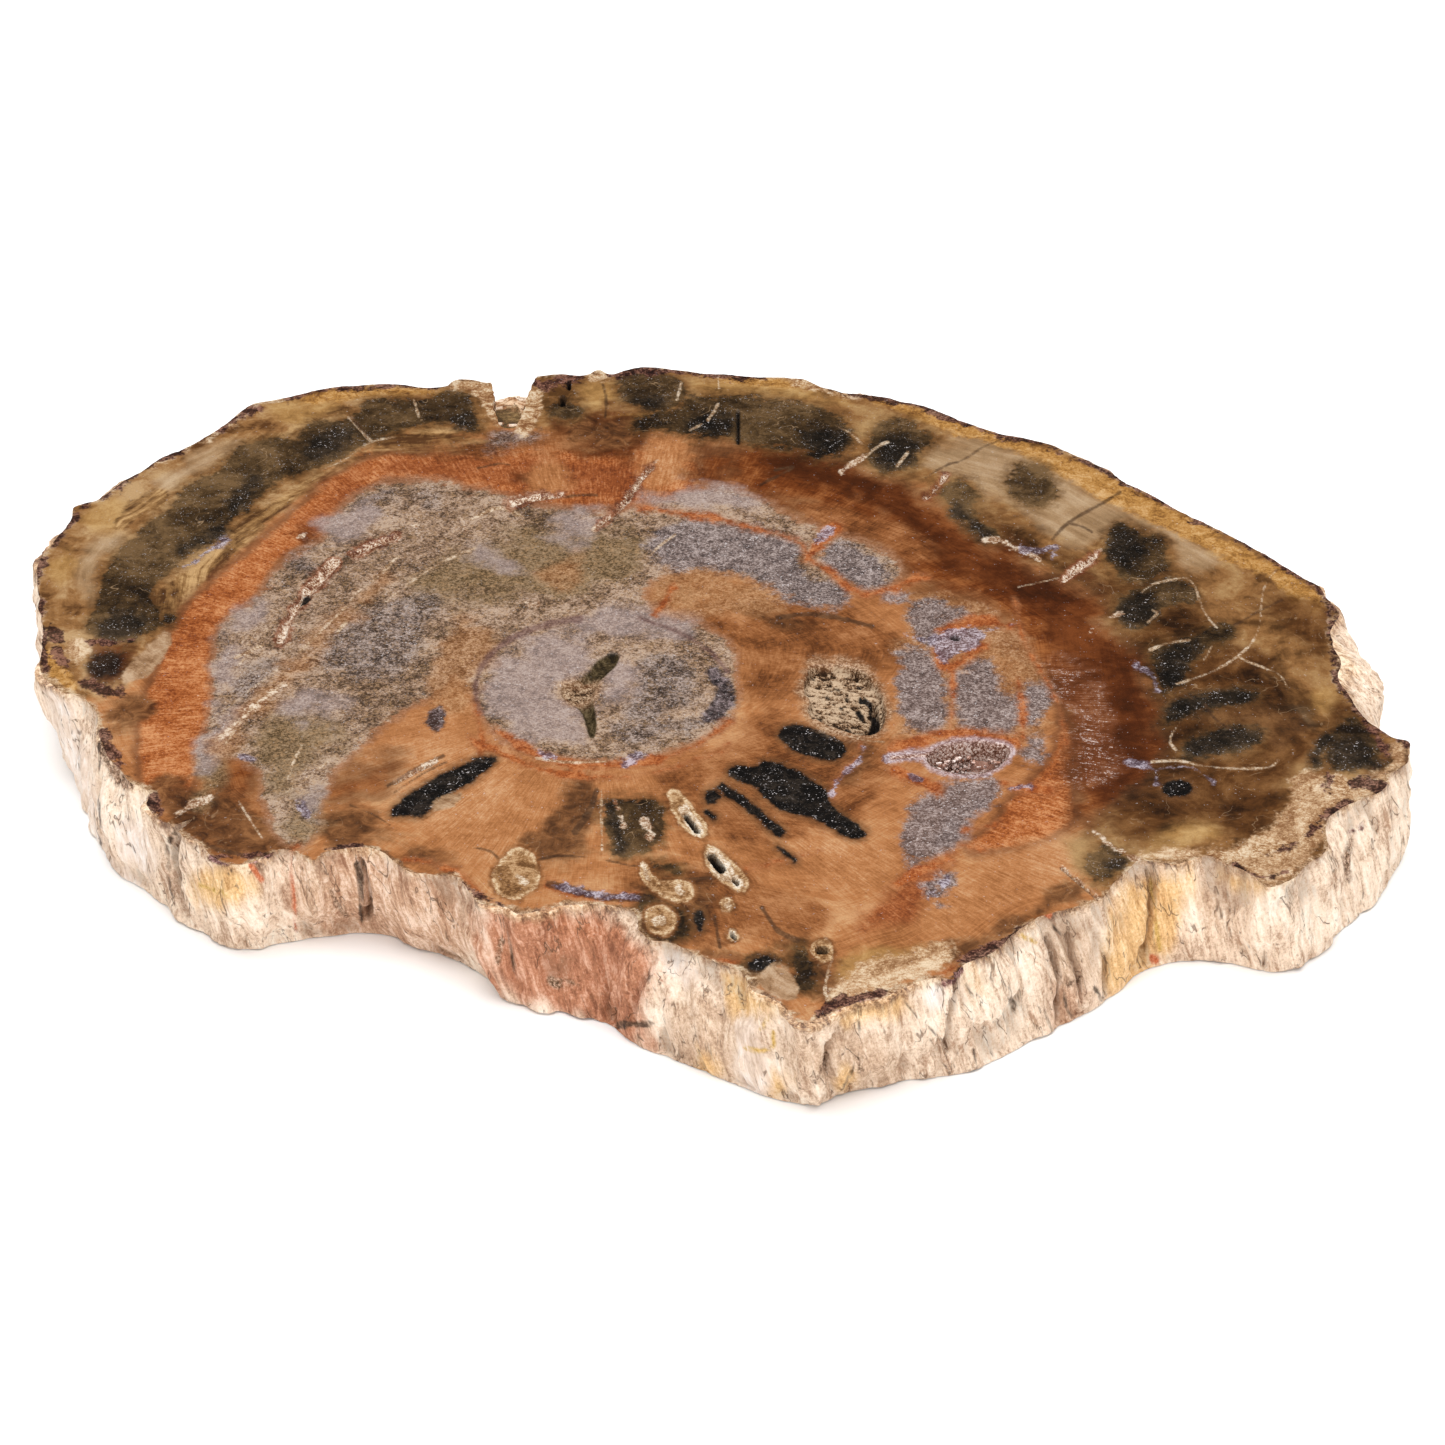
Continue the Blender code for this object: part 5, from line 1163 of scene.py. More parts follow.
def buildSlab(materials):
    thickness = slab["thickness"]
    bm = bmesh.new()
    rings = slabTube(bm)
    for v in bm.verts:
        v.co.x += slab["shift"][0] * mm
        v.co.y += slab["shift"][1] * mm
    print("bark", len(bm.verts), "points")
    fillWithGrid(bm, rings[0], slab["baseSpacing"], 0)
    inner = fillWithGrid(bm, rings[-1], slab["faceSpacing"], thickness)
    bmesh.ops.recalc_face_normals(bm, faces=bm.faces)
    print("closed", len(bm.faces), "faces")
    faceVerts = inner | set(rings[-1])
    hollows = [shape for _, _, shapes in pockets.values() for shape in shapes]
    small = [shape for shapes in markings.values() for shape in shapes if 0 < shape[0] <= slab["detailWidth"]]
    refineDetail(bm, faceVerts, hollows + small)
    print("refined", len(bm.faces), "faces")
    for face in bm.faces:
        height = face.calc_center_median().z
        face.material_index = 0 if height > thickness - flatGap else 2 if height < flatGap else 1
        face.smooth = True
    body = newObject("petrified_wood", bm, materials)
    cutAway(body, notchCutter(materials))
    mesh = body.data
    clearMesh(mesh)
    points = readVectors(mesh.vertices, "co").astype(float)
    onFace = points[:, 2] > thickness - flatGap * 10
    places = facePlaces(points)
    floor = pocketFloor
    sunk = np.zeros(len(points))
    for depth, wall, shapes in pockets.values():
        field = markField(places, shapes, floor["reach"]) * floor["reach"]
        sunk = np.maximum(sunk, depth * smoothStep(-wall * floor["lip"], wall, field))
    web, rough = np.zeros(len(points)), np.zeros(len(points))
    spongy = markField(places, pockets["sponge"][2], floor["spongeReach"]) > .3
    wide, thin, slant = floor["sheet"]
    for i in np.nonzero((sunk > floor["least"]) & onFace)[0]:
        x, y = points[i, :2] / mm
        if spongy[i]:
            sheet = abs(noise.noise(Vector((x / wide, y / thin + x * slant, 3))))
            cell = noise.noise(Vector((x / floor["cell"][0], y / floor["cell"][1], 7)))
            pit = noise.noise(Vector((x / floor["pit"][0], y / floor["pit"][1], 11)))
            web[i] = max(-1, min(1, 3 * sheet - .25 + cell)) if pit < floor["pitFrom"] else -1
            rough[i] = -floor["webDepth"] * web[i]
        else:
            grain = noise.noise(Vector((x / floor["grain"], y / floor["grain"], 5)))
            rough[i] = floor["grainDepth"] * grain * min(1, sunk[i])
    sunk = np.where(onFace, np.maximum(sunk + rough * (sunk > floor["least"]), 0), 0)
    points[:, 2] -= sunk * mm
    low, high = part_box("petrified_wood_slice")
    points = np.clip(points, low, high)
    mesh.vertices.foreach_set("co", points.astype(np.float32).ravel())
    mesh.update()
    normals = readVectors(mesh.vertex_normals, "vector")
    storeField(mesh, "hollow", np.clip(sunk / floor["hollowAt"], 0, 1))
    # How deep each point is sunk, which darkens the colour in the hollows as painted shade.
    storeField(mesh, "deep", np.clip(sunk / floor["deepAt"], 0, 1))
    # The sponge's web: high on its sheets and low in the pits and between them. In the colour it acts as
    # painted shade where the floor sinks.
    storeField(mesh, "web", web * .5 + .5)
    for name in markings:
        storeField(mesh, name, markField(places, markings[name], markReach))
    seen = photoPlaces(points[:, 0], points[:, 1], points[:, 2])
    hidden = normals[:, 1] > slab["backFrom"]
    for name in barkMarkings:
        storeField(mesh, name, np.where(hidden, -1, markField(seen, barkMarkings[name], markReach)))
    pith = np.array(pithPlace())
    away = np.hypot(points[:, 0] - pith[0], points[:, 1] - pith[1])
    closed, _ = traceRim()
    rim = closed[::4, :2] + np.array(slab["shift"]) * mm
    toRim = np.abs(lineGap(points[:, :2], rim, True))
    storeField(mesh, "growth", away / np.maximum(away + toRim, 1e-6))
    crust = (slab["rimCrust"] - toRim / mm) * camera["pixelsPerMm"]
    storeField(mesh, "rim", np.clip(crust / markReach, -1, 1))
    mesh.set_sharp_from_angle(angle=slab["sharpFrom"])
    print("slab", len(mesh.polygons), "faces,", sum(len(p.vertices) - 2 for p in mesh.polygons), "triangles")
    return body


# Where the heart of the trunk is on the polished face, in metres.
def pithPlace():
    u, v = slab["pith"]
    eye, up, level, focal = cameraView()
    a, b = (u - camera["pixels"] / 2) / focal, (camera["pixels"] / 2 - v) / focal
    ray = Vector((a, level + b * up, -up + b * level))
    hit = eye + ray * ((slab["thickness"] - eye.z) / ray.z)
    return hit.x, hit.y


def addNode(tree, kind, inputs=None, **settings):
    made = tree.nodes.new(kind)
    for key, value in settings.items():
        setattr(made, key, value)
    for socket, value in (inputs or {}).items():
        if isinstance(value, bpy.types.NodeSocket):
            tree.links.new(value, made.inputs[socket])
        else:
            made.inputs[socket].default_value = value
    return made


def calculate(tree, operation, *values):
    return addNode(tree, "ShaderNodeMath", dict(enumerate(values)), operation=operation).outputs[0]


def vectorMath(tree, operation, inputs, output=0):
    return addNode(tree, "ShaderNodeVectorMath", inputs, operation=operation).outputs[output]


def bumpFrom(tree, height, strength, distance):
    made = addNode(tree, "ShaderNodeBump", {"Height": height, "Strength": strength, "Distance": distance})
    return made.outputs[0]


def noiseField(tree, vector, scale, detail, roughness=.6, distortion=0.0):
    made = addNode(tree, "ShaderNodeTexNoise", {"Vector": vector, "Scale": scale, "Detail": detail,
                                                "Roughness": roughness, "Distortion": distortion})
    return made.outputs["Fac"]


def readField(tree, name):
    return addNode(tree, "ShaderNodeAttribute", attribute_name=name).outputs["Fac"]


def remap(tree, value, low, high, newLow=0.0, newHigh=1.0, smooth=True):
    made = addNode(tree, "ShaderNodeMapRange", {0: value, 1: low, 2: high, 3: newLow, 4: newHigh},
                   interpolation_type="SMOOTHSTEP" if smooth else "LINEAR")
    return made.outputs[0]


def mixColour(tree, share, first, second, blend="MIX"):
    made = addNode(tree, "ShaderNodeMix", data_type="RGBA", blend_type=blend)
    for socket, value in ((0, share), (6, first), (7, second)):
        if isinstance(value, bpy.types.NodeSocket):
            tree.links.new(value, made.inputs[socket])
        else:
            made.inputs[socket].default_value = value if socket == 0 else (*value, 1)
    return made.outputs[2]


def toneRamp(tree, value, tones):
    ramp = addNode(tree, "ShaderNodeValToRGB", {0: value})
    ramp.color_ramp.elements.new(.5)
    for element, place, tone in zip(ramp.color_ramp.elements, (.3, .5, .7), tones):
        element.position = place
        element.color = (*tone, 1)
    return ramp.outputs["Color"]


def newGroup(name, inputs, outputs):
    group = bpy.data.node_groups.new(name, "ShaderNodeTree")
    for way, sockets in (("INPUT", inputs), ("OUTPUT", outputs)):
        for label, kind in sockets.items():
            group.interface.new_socket(label, in_out=way, socket_type="NodeSocket" + kind)
    return group, group.nodes.new("NodeGroupInput").outputs, group.nodes.new("NodeGroupOutput").inputs


# Lays a marking over the colour under it: three tones by the value, the edge moved by the ragged noise.
def paintedLayerGroup():
    tree, given, made = newGroup("painted layer", {
        "Under": "Color", "Field": "Float", "Edge": "Float", "Grow": "Float", "Soft": "Float",
        "Ragged": "Float", "Cover": "Float", "Value": "Float",
        "Dark": "Color", "Middle": "Color", "Light": "Color",
    }, {"Colour": "Color", "Mask": "Float"})
    gap = calculate(tree, "MULTIPLY_ADD", given["Edge"], given["Ragged"], given["Grow"])
    gap = calculate(tree, "MULTIPLY_ADD", given["Field"], float(markReach), gap)
    outer = calculate(tree, "MULTIPLY", given["Soft"], -1.0)
    mask = calculate(tree, "MULTIPLY", remap(tree, gap, outer, given["Soft"]), given["Cover"])
    lower = calculate(tree, "MULTIPLY_ADD", given["Value"], 5.0, -1.5)
    upper = calculate(tree, "MULTIPLY_ADD", given["Value"], 5.0, -2.5)
    tone = mixColour(tree, upper, mixColour(tree, lower, given["Dark"], given["Middle"]), given["Light"])
    tree.links.new(mixColour(tree, mask, given["Under"], tone), made["Colour"])
    tree.links.new(mask, made["Mask"])
    return tree


# Noise for ragged edges, about -1 to 1: a fine one and a broad one.
def raggedEdgeGroup():
    tree, given, made = newGroup("ragged edge", {"Vector": "Vector", "Scale": "Float"},
                                 {"Edge": "Float", "Wave": "Float"})
    fine = noiseField(tree, given["Vector"], given["Scale"], 4, .65)
    broad = noiseField(tree, given["Vector"], calculate(tree, "MULTIPLY", given["Scale"], .26), 3, .55)
    both = calculate(tree, "ADD", fine, broad)
    tree.links.new(calculate(tree, "MULTIPLY_ADD", both, 2.4, -2.4), made["Edge"])
    tree.links.new(calculate(tree, "MULTIPLY_ADD", broad, 5.0, -2.5), made["Wave"])
    return tree


# Thin wandering lines, such as healed cracks.
def threadsGroup():
    tree, given, made = newGroup("threads", {"Vector": "Vector", "Scale": "Float", "Width": "Float"},
                                 {"Threads": "Float"})
    field = noiseField(tree, given["Vector"], given["Scale"], 3, .6, .6)
    off = calculate(tree, "ABSOLUTE", calculate(tree, "SUBTRACT", field, .5))
    line = remap(tree, off, 0.0, given["Width"], 1.0, 0.0)
    broken = noiseField(tree, given["Vector"], calculate(tree, "MULTIPLY", given["Scale"], 2.2), 2)
    share = remap(tree, broken, .47, .57)
    tree.links.new(calculate(tree, "MULTIPLY", line, share), made["Threads"])
    return tree


# Sparse bright points, in clusters: painted glints of light.
def glintsGroup():
    tree, given, made = newGroup("glints", {"Vector": "Vector", "Scale": "Float", "Least": "Float"},
                                 {"Glints": "Float"})
    points = noiseField(tree, given["Vector"], given["Scale"], 1, .5)
    clusters = noiseField(tree, given["Vector"], calculate(tree, "MULTIPLY", given["Scale"], .1), 3, .7)
    bright = remap(tree, points, given["Least"], calculate(tree, "ADD", given["Least"], .07))
    near = remap(tree, clusters, .44, .58, .15, 1.0)
    tree.links.new(calculate(tree, "MULTIPLY", bright, near), made["Glints"])
    return tree


def placeGroup(tree, group, inputs):
    return addNode(tree, "ShaderNodeGroup", inputs, node_tree=group).outputs


# A value round a half: the sum of the textures' swings, by their weights.
def texturedValue(tree, textures, weights):
    value = .5
    for name, weight in weights.items():
        if name not in flecks:
            swing = calculate(tree, "SUBTRACT", textures[name], .5)
            value = calculate(tree, "MULTIPLY_ADD", swing, float(weight), value)
    return value


def paintLayers(tree, under, looks, textures):
    colour = under
    for name, grow, dark, middle, light, soft, ragged, cover, weights in looks:
        painted = placeGroup(tree, groups["paintedLayer"], {
            "Under": colour, "Field": readField(tree, name),
            "Edge": textures["wave" if soft >= waveFrom else "edge"], "Grow": grow, "Soft": soft,
            "Ragged": ragged, "Cover": cover, "Value": texturedValue(tree, textures, weights),
            "Dark": (*dark, 1), "Middle": (*middle, 1), "Light": (*light, 1)})
        colour = painted["Colour"]
        for fleck, tone in flecks.items():
            if fleck in weights and fleck in textures:
                share = calculate(tree, "MULTIPLY", painted["Mask"], textures[fleck])
                share = calculate(tree, "MULTIPLY", share, float(weights[fleck]))
                colour = mixColour(tree, share, colour, tone)
    return colour


def newMaterial(name):
    material = bpy.data.materials.new(name)
    material.use_nodes = True
    tree = material.node_tree
    tree.nodes.clear()
    return material, tree


def finishMaterial(tree, colour, roughness, coat, bump=None, specular=.5):
    shader = addNode(tree, "ShaderNodeBsdfPrincipled", {
        "Base Color": colour, "Roughness": roughness, "Coat Weight": coat, "Coat Roughness": .04,
        "Coat IOR": 1.5, "Specular IOR Level": specular, "IOR": 1.5})
    if bump:
        tree.links.new(bump, shader.inputs["Normal"])
    output = addNode(tree, "ShaderNodeOutputMaterial")
    tree.links.new(shader.outputs[0], output.inputs["Surface"])


polish = {
    "ground": ((.27, .095, .028), (.47, .19, .068), (.62, .34, .16)),
    "roughness": .35,
    "specular": .08,
    "coat": .15,
    "shade": .66,
    "cloudScale": 55,
    "mottleScale": 250,
    "grainScale": 1900,
    "sandScale": 1300,
    "edgeScale": 420,
    "driftScale": 420,
    "driftTurn": math.radians(64),
    "driftStretch": 4,
    "rays": (190, 200.0),
    "rings": (9, 330.0),
    "flow": (5, 46.0),
    "threadScale": 75,
    "threadWidth": .006,
    "glintScale": 2300,
    "glintFrom": .66,
    "sparkleScale": 1700,
    "sparkleFrom": .72,
    "sparkle": .45,
    "fleckScale": 2000,
    "fleckShade": (.86, 1.14),
    "hollowRoughness": .85,
    "deepShade": .25,
    "bump": (.5, .6 * mm),
}


def polishedStone():
    material, tree = newMaterial("polished petrified wood")
    places = addNode(tree, "ShaderNodeTexCoord").outputs["Object"]
    pith = (*pithPlace(), slab["thickness"])
    flat = vectorMath(tree, "MULTIPLY", {0: vectorMath(tree, "SUBTRACT", {0: places, 1: pith}), 1: (1, 1, 0)})
    heading = vectorMath(tree, "NORMALIZE", {0: flat})
    away = vectorMath(tree, "LENGTH", {0: flat}, "Value")
    growth = readField(tree, "growth")

    def polarNoise(scales, depth, detail):
        around, outward = scales
        spread = vectorMath(tree, "SCALE", {0: heading, 3: around})
        raised = calculate(tree, "MULTIPLY", depth, outward)
        lift = addNode(tree, "ShaderNodeCombineXYZ", {2: raised}).outputs[0]
        return noiseField(tree, vectorMath(tree, "ADD", {0: spread, 1: lift}), 1.0, detail, .65)

    edges = placeGroup(tree, groups["raggedEdge"], {"Vector": places, "Scale": polish["edgeScale"]})
    drifted = addNode(tree, "ShaderNodeMapping", {
        "Vector": places, "Rotation": (0, 0, polish["driftTurn"]), "Scale": (polish["driftStretch"], 1, 1),
    }, vector_type="TEXTURE").outputs[0]
    rays = polarNoise(polish["rays"], away, 2)
    grain = noiseField(tree, places, polish["grainScale"], 2, .8)
    mottle = noiseField(tree, places, polish["mottleScale"], 5, .7, .9)
    specks = calculate(tree, "MULTIPLY", remap(tree, grain, .53, .6), remap(tree, mottle, .44, .54))
    textures = {
        "cloud": noiseField(tree, places, polish["cloudScale"], 6, .62, .5),
        "mottle": mottle,
        "drift": noiseField(tree, drifted, polish["driftScale"], 4, .66, .3),
        "grain": grain,
        "rays": rays,
        "rings": polarNoise(polish["rings"], growth, 3),
        "flow": polarNoise(polish["flow"], growth, 5),
        "web": readField(tree, "web"),
        "edge": edges["Edge"],
        "wave": edges["Wave"],
        "glint": placeGroup(tree, groups["glints"], {"Vector": places, "Scale": polish["glintScale"],
                                                     "Least": polish["glintFrom"]})["Glints"],
        "threads": placeGroup(tree, groups["threads"], {"Vector": places, "Scale": polish["threadScale"],
                                                        "Width": polish["threadWidth"]})["Threads"],
        "sand": remap(tree, noiseField(tree, places, polish["sandScale"], 2, .7), .53, .62),
        "strokes": calculate(tree, "MULTIPLY", remap(tree, rays, .54, .64), remap(tree, mottle, .46, .56)),
        "frost": calculate(tree, "MULTIPLY", remap(tree, rays, .44, .6), specks),
    }
    value = texturedValue(tree, textures, {"cloud": 1, "mottle": .4, "rays": .3, "rings": .4})
    ground = toneRamp(tree, value, polish["ground"])
    colour = paintLayers(tree, ground, layerLooks, textures)
    # Painted highlights: sparse glints of light over the whole face.
    sparkle = placeGroup(tree, groups["glints"], {"Vector": places, "Scale": polish["sparkleScale"],
                                                  "Least": polish["sparkleFrom"]})["Glints"]
    colour = mixColour(tree, calculate(tree, "MULTIPLY", sparkle, polish["sparkle"]), colour, flecks["glint"])
    fleck = noiseField(tree, places, polish["fleckScale"], 3, .75)
    darker, lighter = (polish["shade"] * share for share in polish["fleckShade"])
    shade = remap(tree, fleck, .3, .7, darker, lighter, smooth=False)
    # Painted shade: the colour darkens deep in the hollows.
    deep = remap(tree, readField(tree, "deep"), .45, .95, 1.0, polish["deepShade"])
    shade = calculate(tree, "MULTIPLY", shade, deep)
    colour = vectorMath(tree, "SCALE", {0: colour, 3: shade})
    hollow = readField(tree, "hollow")
    roughness = remap(tree, hollow, .1, .5, polish["roughness"], polish["hollowRoughness"])
    coat = remap(tree, hollow, .05, .3, polish["coat"], 0.0)
    height = calculate(tree, "MULTIPLY", grain, hollow)
    finishMaterial(tree, colour, roughness, coat, bumpFrom(tree, height, *polish["bump"]), polish["specular"])
    return material


bark = {
    "ground": ((.4, .24, .15), (.79, .61, .46), (.92, .81, .68)),
    "broadLooks": 7,
    # Painted shade: the tone, the sunk depths and the share by which the colour darkens in the bark's
    # crevices.
    "creviceShade": (.2, .11, .06),
    "creviceAt": (-1.9, -.7),
    "creviceShadeCover": .4,
    "fibreScale": 760,
    "fibreStretch": .1,
    "crackScale": 150,
    "crackWidth": .011,
    "crackTone": (.16, .085, .045),
    "cracks": .75,
    "cloudScale": 60,
    "mottleScale": 300,
    "grainScale": 1500,
    "edgeScale": 420,
    "slant": .25,
    "flatten": .27,
    "speckScale": 1000,
    "speckTone": (.26, .14, .075),
    "specks": .55,
    "fringe": (22.2 * mm, 24.8 * mm),
    "fringeWander": 1.6 * mm,
    "fringeTones": ((.1, .04, .02), (.46, .26, .13), (.82, .64, .45)),
    "fringeCover": .85,
    "roughness": .8,
    "specular": .3,
    "bump": (.7, 1 * mm),
}


def barkStone():
    material, tree = newMaterial("petrified bark")
    places = addNode(tree, "ShaderNodeTexCoord").outputs["Object"]
    parts = addNode(tree, "ShaderNodeSeparateXYZ", {0: places}).outputs
    slanted = calculate(tree, "MULTIPLY_ADD", parts["Z"], bark["slant"], parts["X"])
    lowered = calculate(tree, "MULTIPLY", parts["Z"], bark["fibreStretch"])
    along = addNode(tree, "ShaderNodeCombineXYZ", {0: slanted, 1: parts["Y"], 2: lowered}).outputs[0]
    flatter = calculate(tree, "MULTIPLY", parts["Z"], bark["flatten"])
    upright = addNode(tree, "ShaderNodeCombineXYZ", {0: slanted, 1: parts["Y"], 2: flatter}).outputs[0]
    edges = placeGroup(tree, groups["raggedEdge"], {"Vector": upright, "Scale": bark["edgeScale"]})
    fibre = noiseField(tree, along, bark["fibreScale"], 5, .72, .2)
    grain = noiseField(tree, places, bark["grainScale"], 3, .75)
    mottle = noiseField(tree, upright, bark["mottleScale"], 5, .7, .6)
    textures = {
        "fibre": fibre,
        "cloud": noiseField(tree, places, bark["cloudScale"], 6, .62),
        "mottle": mottle,
        "grain": grain,
        "edge": edges["Edge"],
        "wave": edges["Wave"],
    }
    value = texturedValue(tree, textures, {"fibre": .9, "cloud": .6, "grain": .5, "mottle": .5})
    ground = toneRamp(tree, value, bark["ground"])
    colour = paintLayers(tree, ground, barkLooks[:bark["broadLooks"]], textures)
    # Painted shade in the crevices: the colour darkens where the relief and the fibres sink.
    relief = readField(tree, "relief")
    sunk = calculate(tree, "MULTIPLY_ADD", fibre, -2.4, calculate(tree, "ADD", relief, 1.2))
    creviceShade = remap(tree, sunk, *bark["creviceAt"], bark["creviceShadeCover"], 0.0)
    colour = mixColour(tree, creviceShade, colour, bark["creviceShade"])
    cracks = placeGroup(tree, groups["threads"], {"Vector": upright, "Scale": bark["crackScale"],
                                                  "Width": bark["crackWidth"]})["Threads"]
    colour = mixColour(tree, calculate(tree, "MULTIPLY", cracks, bark["cracks"]), colour, bark["crackTone"])
    speck = remap(tree, noiseField(tree, upright, bark["speckScale"], 4, .8), .6, .7, 0.0, bark["specks"])
    colour = mixColour(tree, speck, colour, bark["speckTone"])
    top = calculate(tree, "MULTIPLY_ADD", edges["Edge"], bark["fringeWander"], parts["Z"])
    fringe = remap(tree, top, *bark["fringe"], 0.0, bark["fringeCover"])
    value = texturedValue(tree, textures, {"cloud": 1, "mottle": 1.3, "grain": .8})
    colour = mixColour(tree, fringe, colour, toneRamp(tree, value, bark["fringeTones"]))
    colour = paintLayers(tree, colour, barkLooks[bark["broadLooks"]:], textures)
    rough = calculate(tree, "MULTIPLY_ADD", fibre, .6, calculate(tree, "MULTIPLY", grain, .6))
    rough = calculate(tree, "MULTIPLY_ADD", mottle, .8, rough)
    rough = calculate(tree, "MULTIPLY_ADD", cracks, -.8, rough)
    bump = bumpFrom(tree, rough, *bark["bump"])
    finishMaterial(tree, colour, bark["roughness"], 0.0, bump, bark["specular"])
    return material


sawn = {
    "ground": ((.22, .12, .07), (.38, .24, .15), (.5, .36, .25)),
    "sawPitch": 480,
    "sawStretch": .06,
    "edgeScale": 300,
    "mottleScale": 90,
    "cloudScale": 50,
    "grainScale": 1500,
    "looks": ("ochre", "tan", "ember", "rust", "heart", "smoke"),
    "dust": (.52, .44, .37),
    "dustCover": .45,
    "roughness": .75,
    "specular": .3,
    "bump": (.3, .3 * mm),
}


def sawnStone():
    material, tree = newMaterial("sawn petrified wood")
    places = addNode(tree, "ShaderNodeTexCoord").outputs["Object"]
    parts = addNode(tree, "ShaderNodeSeparateXYZ", {0: places}).outputs
    edges = placeGroup(tree, groups["raggedEdge"], {"Vector": places, "Scale": sawn["edgeScale"]})
    narrow = calculate(tree, "MULTIPLY", parts["X"], sawn["sawStretch"])
    lines = addNode(tree, "ShaderNodeCombineXYZ", {0: narrow, 1: parts["Y"]}).outputs[0]
    saw = noiseField(tree, lines, sawn["sawPitch"], 3)
    mottle = noiseField(tree, places, sawn["mottleScale"], 4)
    textures = {
        "cloud": noiseField(tree, places, sawn["cloudScale"], 6, .65, .4),
        "mottle": mottle,
        "drift": mottle,
        "grain": noiseField(tree, places, sawn["grainScale"], 2, .8),
        "rays": saw,
        "rings": mottle,
        "flow": mottle,
        "edge": edges["Edge"],
        "wave": edges["Wave"],
    }
    ground = toneRamp(tree, texturedValue(tree, textures, {"cloud": 1, "rays": .3}), sawn["ground"])
    broad = [look for look in layerLooks if look[0] in sawn["looks"]]
    colour = paintLayers(tree, ground, broad, textures)
    colour = mixColour(tree, sawn["dustCover"], colour, sawn["dust"])
    finishMaterial(tree, colour, sawn["roughness"], 0.0, bumpFrom(tree, saw, *sawn["bump"]), sawn["specular"])
    return material


crystals = {
    "count": 950,
    "width": (.4 * mm, .85 * mm),
    "length": (.6 * mm, 1.3 * mm),
    "tilt": .45,
    "wall": .5 * mm,
    "lip": -.15,
    "bowl": (.8, .9),
    "bowlWalls": (1.6, .4),
    "reach": .95,
    "rootSpread": (.9, .88),
    "rimHeights": (-.4, .55),
    "lean": 1.3,
    "lift": .75,
    "bowlTone": .45,
    "rimFrom": .86,
    "tipLength": .7,
    "tones": ((.2, .085, .055), (.5, .29, .22), (.82, .68, .62)),
    "cloudScale": 500,
    "roughness": .18,
    "coat": .3,
    "specular": .6,
    "seed": 12,
}


def quartzCrystals():
    material, tree = newMaterial("quartz crystals")
    places = addNode(tree, "ShaderNodeTexCoord").outputs["Object"]
    tone = readField(tree, "tone")
    cloud = noiseField(tree, places, crystals["cloudScale"], 3)
    value = calculate(tree, "ADD", calculate(tree, "MULTIPLY", tone, .6),
                      calculate(tree, "MULTIPLY", cloud, .4))
    colour = toneRamp(tree, value, crystals["tones"])
    finishMaterial(tree, colour, crystals["roughness"], crystals["coat"], None, crystals["specular"])
    return material


# Height of the bowl's floor, as a share of its half height, by the square of the distance from its middle.
def bowlFloor(square):
    depth, curve = crystals["bowl"]
    return crystals["lip"] - depth * math.sqrt(max(0, 1 - min(1, square) * curve))


# A bowl grown with small six-sided crystals that point into the hollow.
def buildCrust(material):
    low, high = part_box("crystal_crust")
    middle, half = (low + high) / 2, (high - low) / 2
    rng = np.random.default_rng(crystals["seed"])
    bm = bmesh.new()
    toneLayer = bm.verts.layers.float.new("tone")
    bowl = bmesh.ops.create_icosphere(bm, subdivisions=4, radius=1)["verts"]
    for v in bowl:
        v[toneLayer] = crystals["bowlTone"]
        inward = v.co.z > -crystals["lip"]
        squeeze = 1 - crystals["wall"] / half.x * crystals["bowlWalls"][0 if inward else 1]
        depth = bowlFloor(v.co.x ** 2 + v.co.y ** 2) if inward else v.co.z
        x, y = v.co.x * half.x * squeeze, v.co.y * half.y * squeeze
        v.co = (middle.x + x, middle.y + y, middle.z + depth * half.z)
    lean, (spreadX, spreadY) = crystals["lean"], crystals["rootSpread"]
    for _ in range(crystals["count"]):
        angle = rng.uniform(0, 2 * math.pi)
        reach = math.sqrt(rng.uniform(0, 1)) * crystals["reach"]
        dx, dy = math.cos(angle) * reach, math.sin(angle) * reach
        onRim = reach >= crystals["rimFrom"]
        depth = rng.uniform(*crystals["rimHeights"]) if onRim else bowlFloor(reach ** 2)
        root = middle + Vector((dx * half.x * spreadX, dy * half.y * spreadY, depth * half.z))
        aim = Vector((-dx * lean, -dy * lean, crystals["lift"])) + Vector(rng.normal(0, crystals["tilt"], 3))
        width, length = rng.uniform(*crystals["width"]), rng.uniform(*crystals["length"])
        turn = aim.to_track_quat("Z", "Y").to_matrix().to_4x4()
        spin = Matrix.Rotation(rng.uniform(0, 1.05), 4, "Z")
        place = Matrix.Translation(root) @ turn @ spin
        shade = rng.uniform(0, 1)
        shaft = bmesh.ops.create_cone(bm, cap_ends=False, segments=6, radius1=width / 2, radius2=width / 2,
                                      depth=length, matrix=place)["verts"]
        point = width * crystals["tipLength"]
        onTop = place @ Matrix.Translation((0, 0, length / 2 + point / 2))
        tip = bmesh.ops.create_cone(bm, cap_ends=False, segments=6, radius1=width / 2, radius2=0, depth=point,
                                    matrix=onTop)["verts"]
        for v in shaft + tip:
            v[toneLayer] = shade
    for v in bm.verts:
        v.co = [min(max(c, least), most) for c, least, most in zip(v.co, low, high)]
    bmesh.ops.remove_doubles(bm, verts=bm.verts, dist=1e-7)
    bmesh.ops.holes_fill(bm, edges=[e for e in bm.edges if e.is_boundary], sides=0)
    bmesh.ops.recalc_face_normals(bm, faces=bm.faces)
    return newObject("druse_crystals", bm, [material])


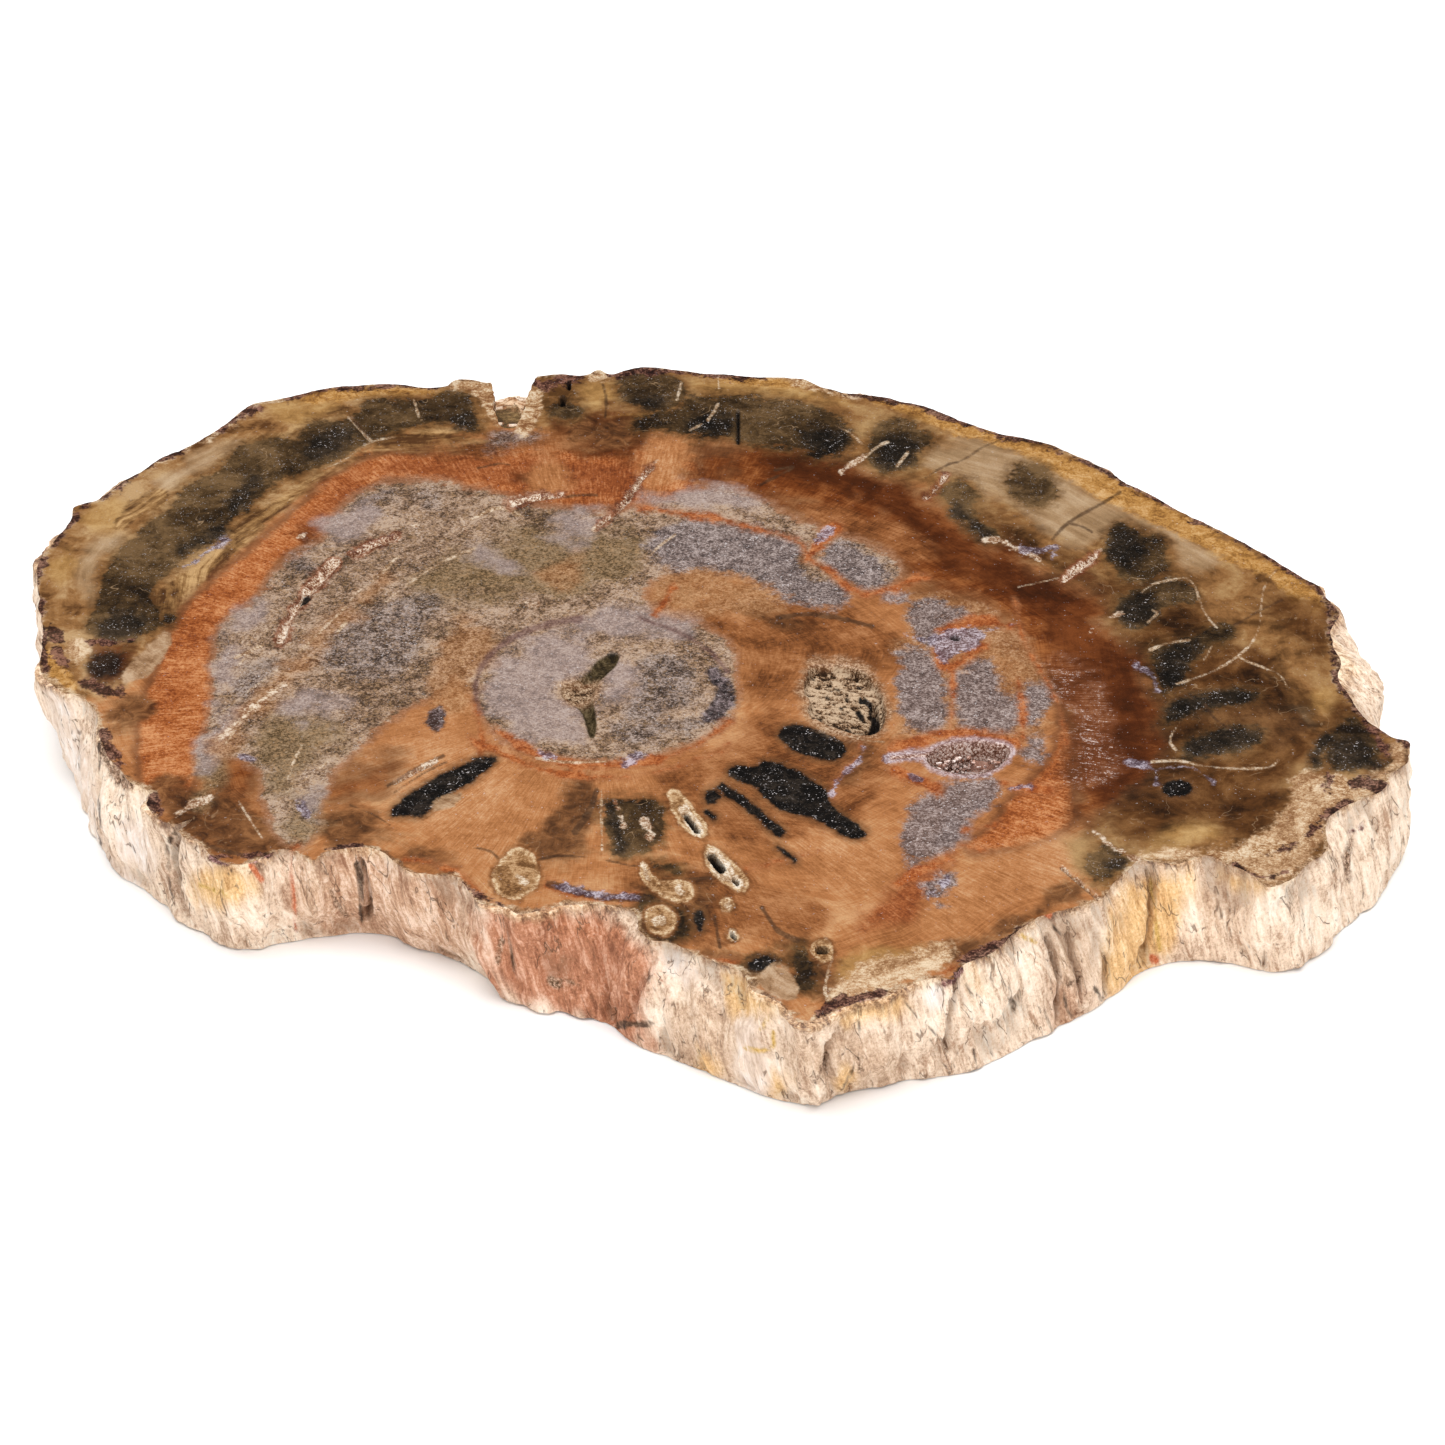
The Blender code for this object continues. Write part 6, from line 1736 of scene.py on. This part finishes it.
print("stone")
groups = {"paintedLayer": paintedLayerGroup(), "raggedEdge": raggedEdgeGroup(), "threads": threadsGroup(),
          "glints": glintsGroup()}
petrifiedWood = buildSlab([polishedStone(), barkStone(), sawnStone()])
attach(petrifiedWood, "root")
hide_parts("petrified_wood_slice")

print("crystals")
druse = buildCrust(quartzCrystals())
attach(druse, "root")
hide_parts("crystal_crust")


studio = {
    "floorSize": 8,
    "floorTone": .92,
    "floorGap": .2 * mm,
    "floorRoughness": .9,
    "floorSpecular": .1,
    "world": .05,
    "backdrop": .95,
    "top": (2.4, 1.55, 62),
    "fills": [((-1.1, -1.5, .5), 1.2, 14), ((1.2, -1.4, .5), 1.2, 15)],
}


def areaLight(name, place, aim, size, power):
    data = bpy.data.lights.new(name, "AREA")
    data.shape = "SQUARE"
    data.size = size
    data.energy = power
    light = bpy.data.objects.new(name, data)
    light.location = place
    light.rotation_euler = (Vector(aim) - Vector(place)).to_track_quat("-Z", "Y").to_euler()
    bpy.context.scene.collection.objects.link(light)


def buildStudio():
    bm = bmesh.new()
    bmesh.ops.create_grid(bm, x_segments=1, y_segments=1, size=studio["floorSize"] / 2)
    material, tree = newMaterial("pale floor")
    tone = studio["floorTone"]
    finishMaterial(tree, (tone, tone, tone, 1), studio["floorRoughness"], 0.0, None, studio["floorSpecular"])
    floor = newObject("floor", bm, [material])
    floor.location.z = -studio["floorGap"]
    size, height, power = studio["top"]
    areaLight("softbox above", (0, 0, height), (0, 0, 0), size, power)
    for i, (place, size, power) in enumerate(studio["fills"]):
        areaLight(f"fill {i}", place, (0, 0, .01), size, power)
    world = bpy.data.worlds.new("studio")
    world.use_nodes = True
    tree = world.node_tree
    seen = addNode(tree, "ShaderNodeLightPath").outputs["Is Camera Ray"]
    strength = remap(tree, seen, 0, 1, studio["world"], studio["backdrop"], smooth=False)
    background = tree.nodes["Background"]
    background.inputs["Color"].default_value = (1, 1, 1, 1)
    tree.links.new(strength, background.inputs["Strength"])
    bpy.context.scene.world = world


def buildCamera():
    data = bpy.data.cameras.new("camera")
    data.lens = camera["lens"]
    data.sensor_width = camera["sensor"]
    data.clip_start = .01
    eye = bpy.data.objects.new("camera", data)
    eye.location = cameraView()[0]
    eye.rotation_euler = (math.pi / 2 - camera["elevation"], 0, 0)
    bpy.context.scene.collection.objects.link(eye)
    bpy.context.scene.camera = eye


print("studio")
buildStudio()
buildCamera()
bpy.context.scene.view_settings.view_transform = "Standard"
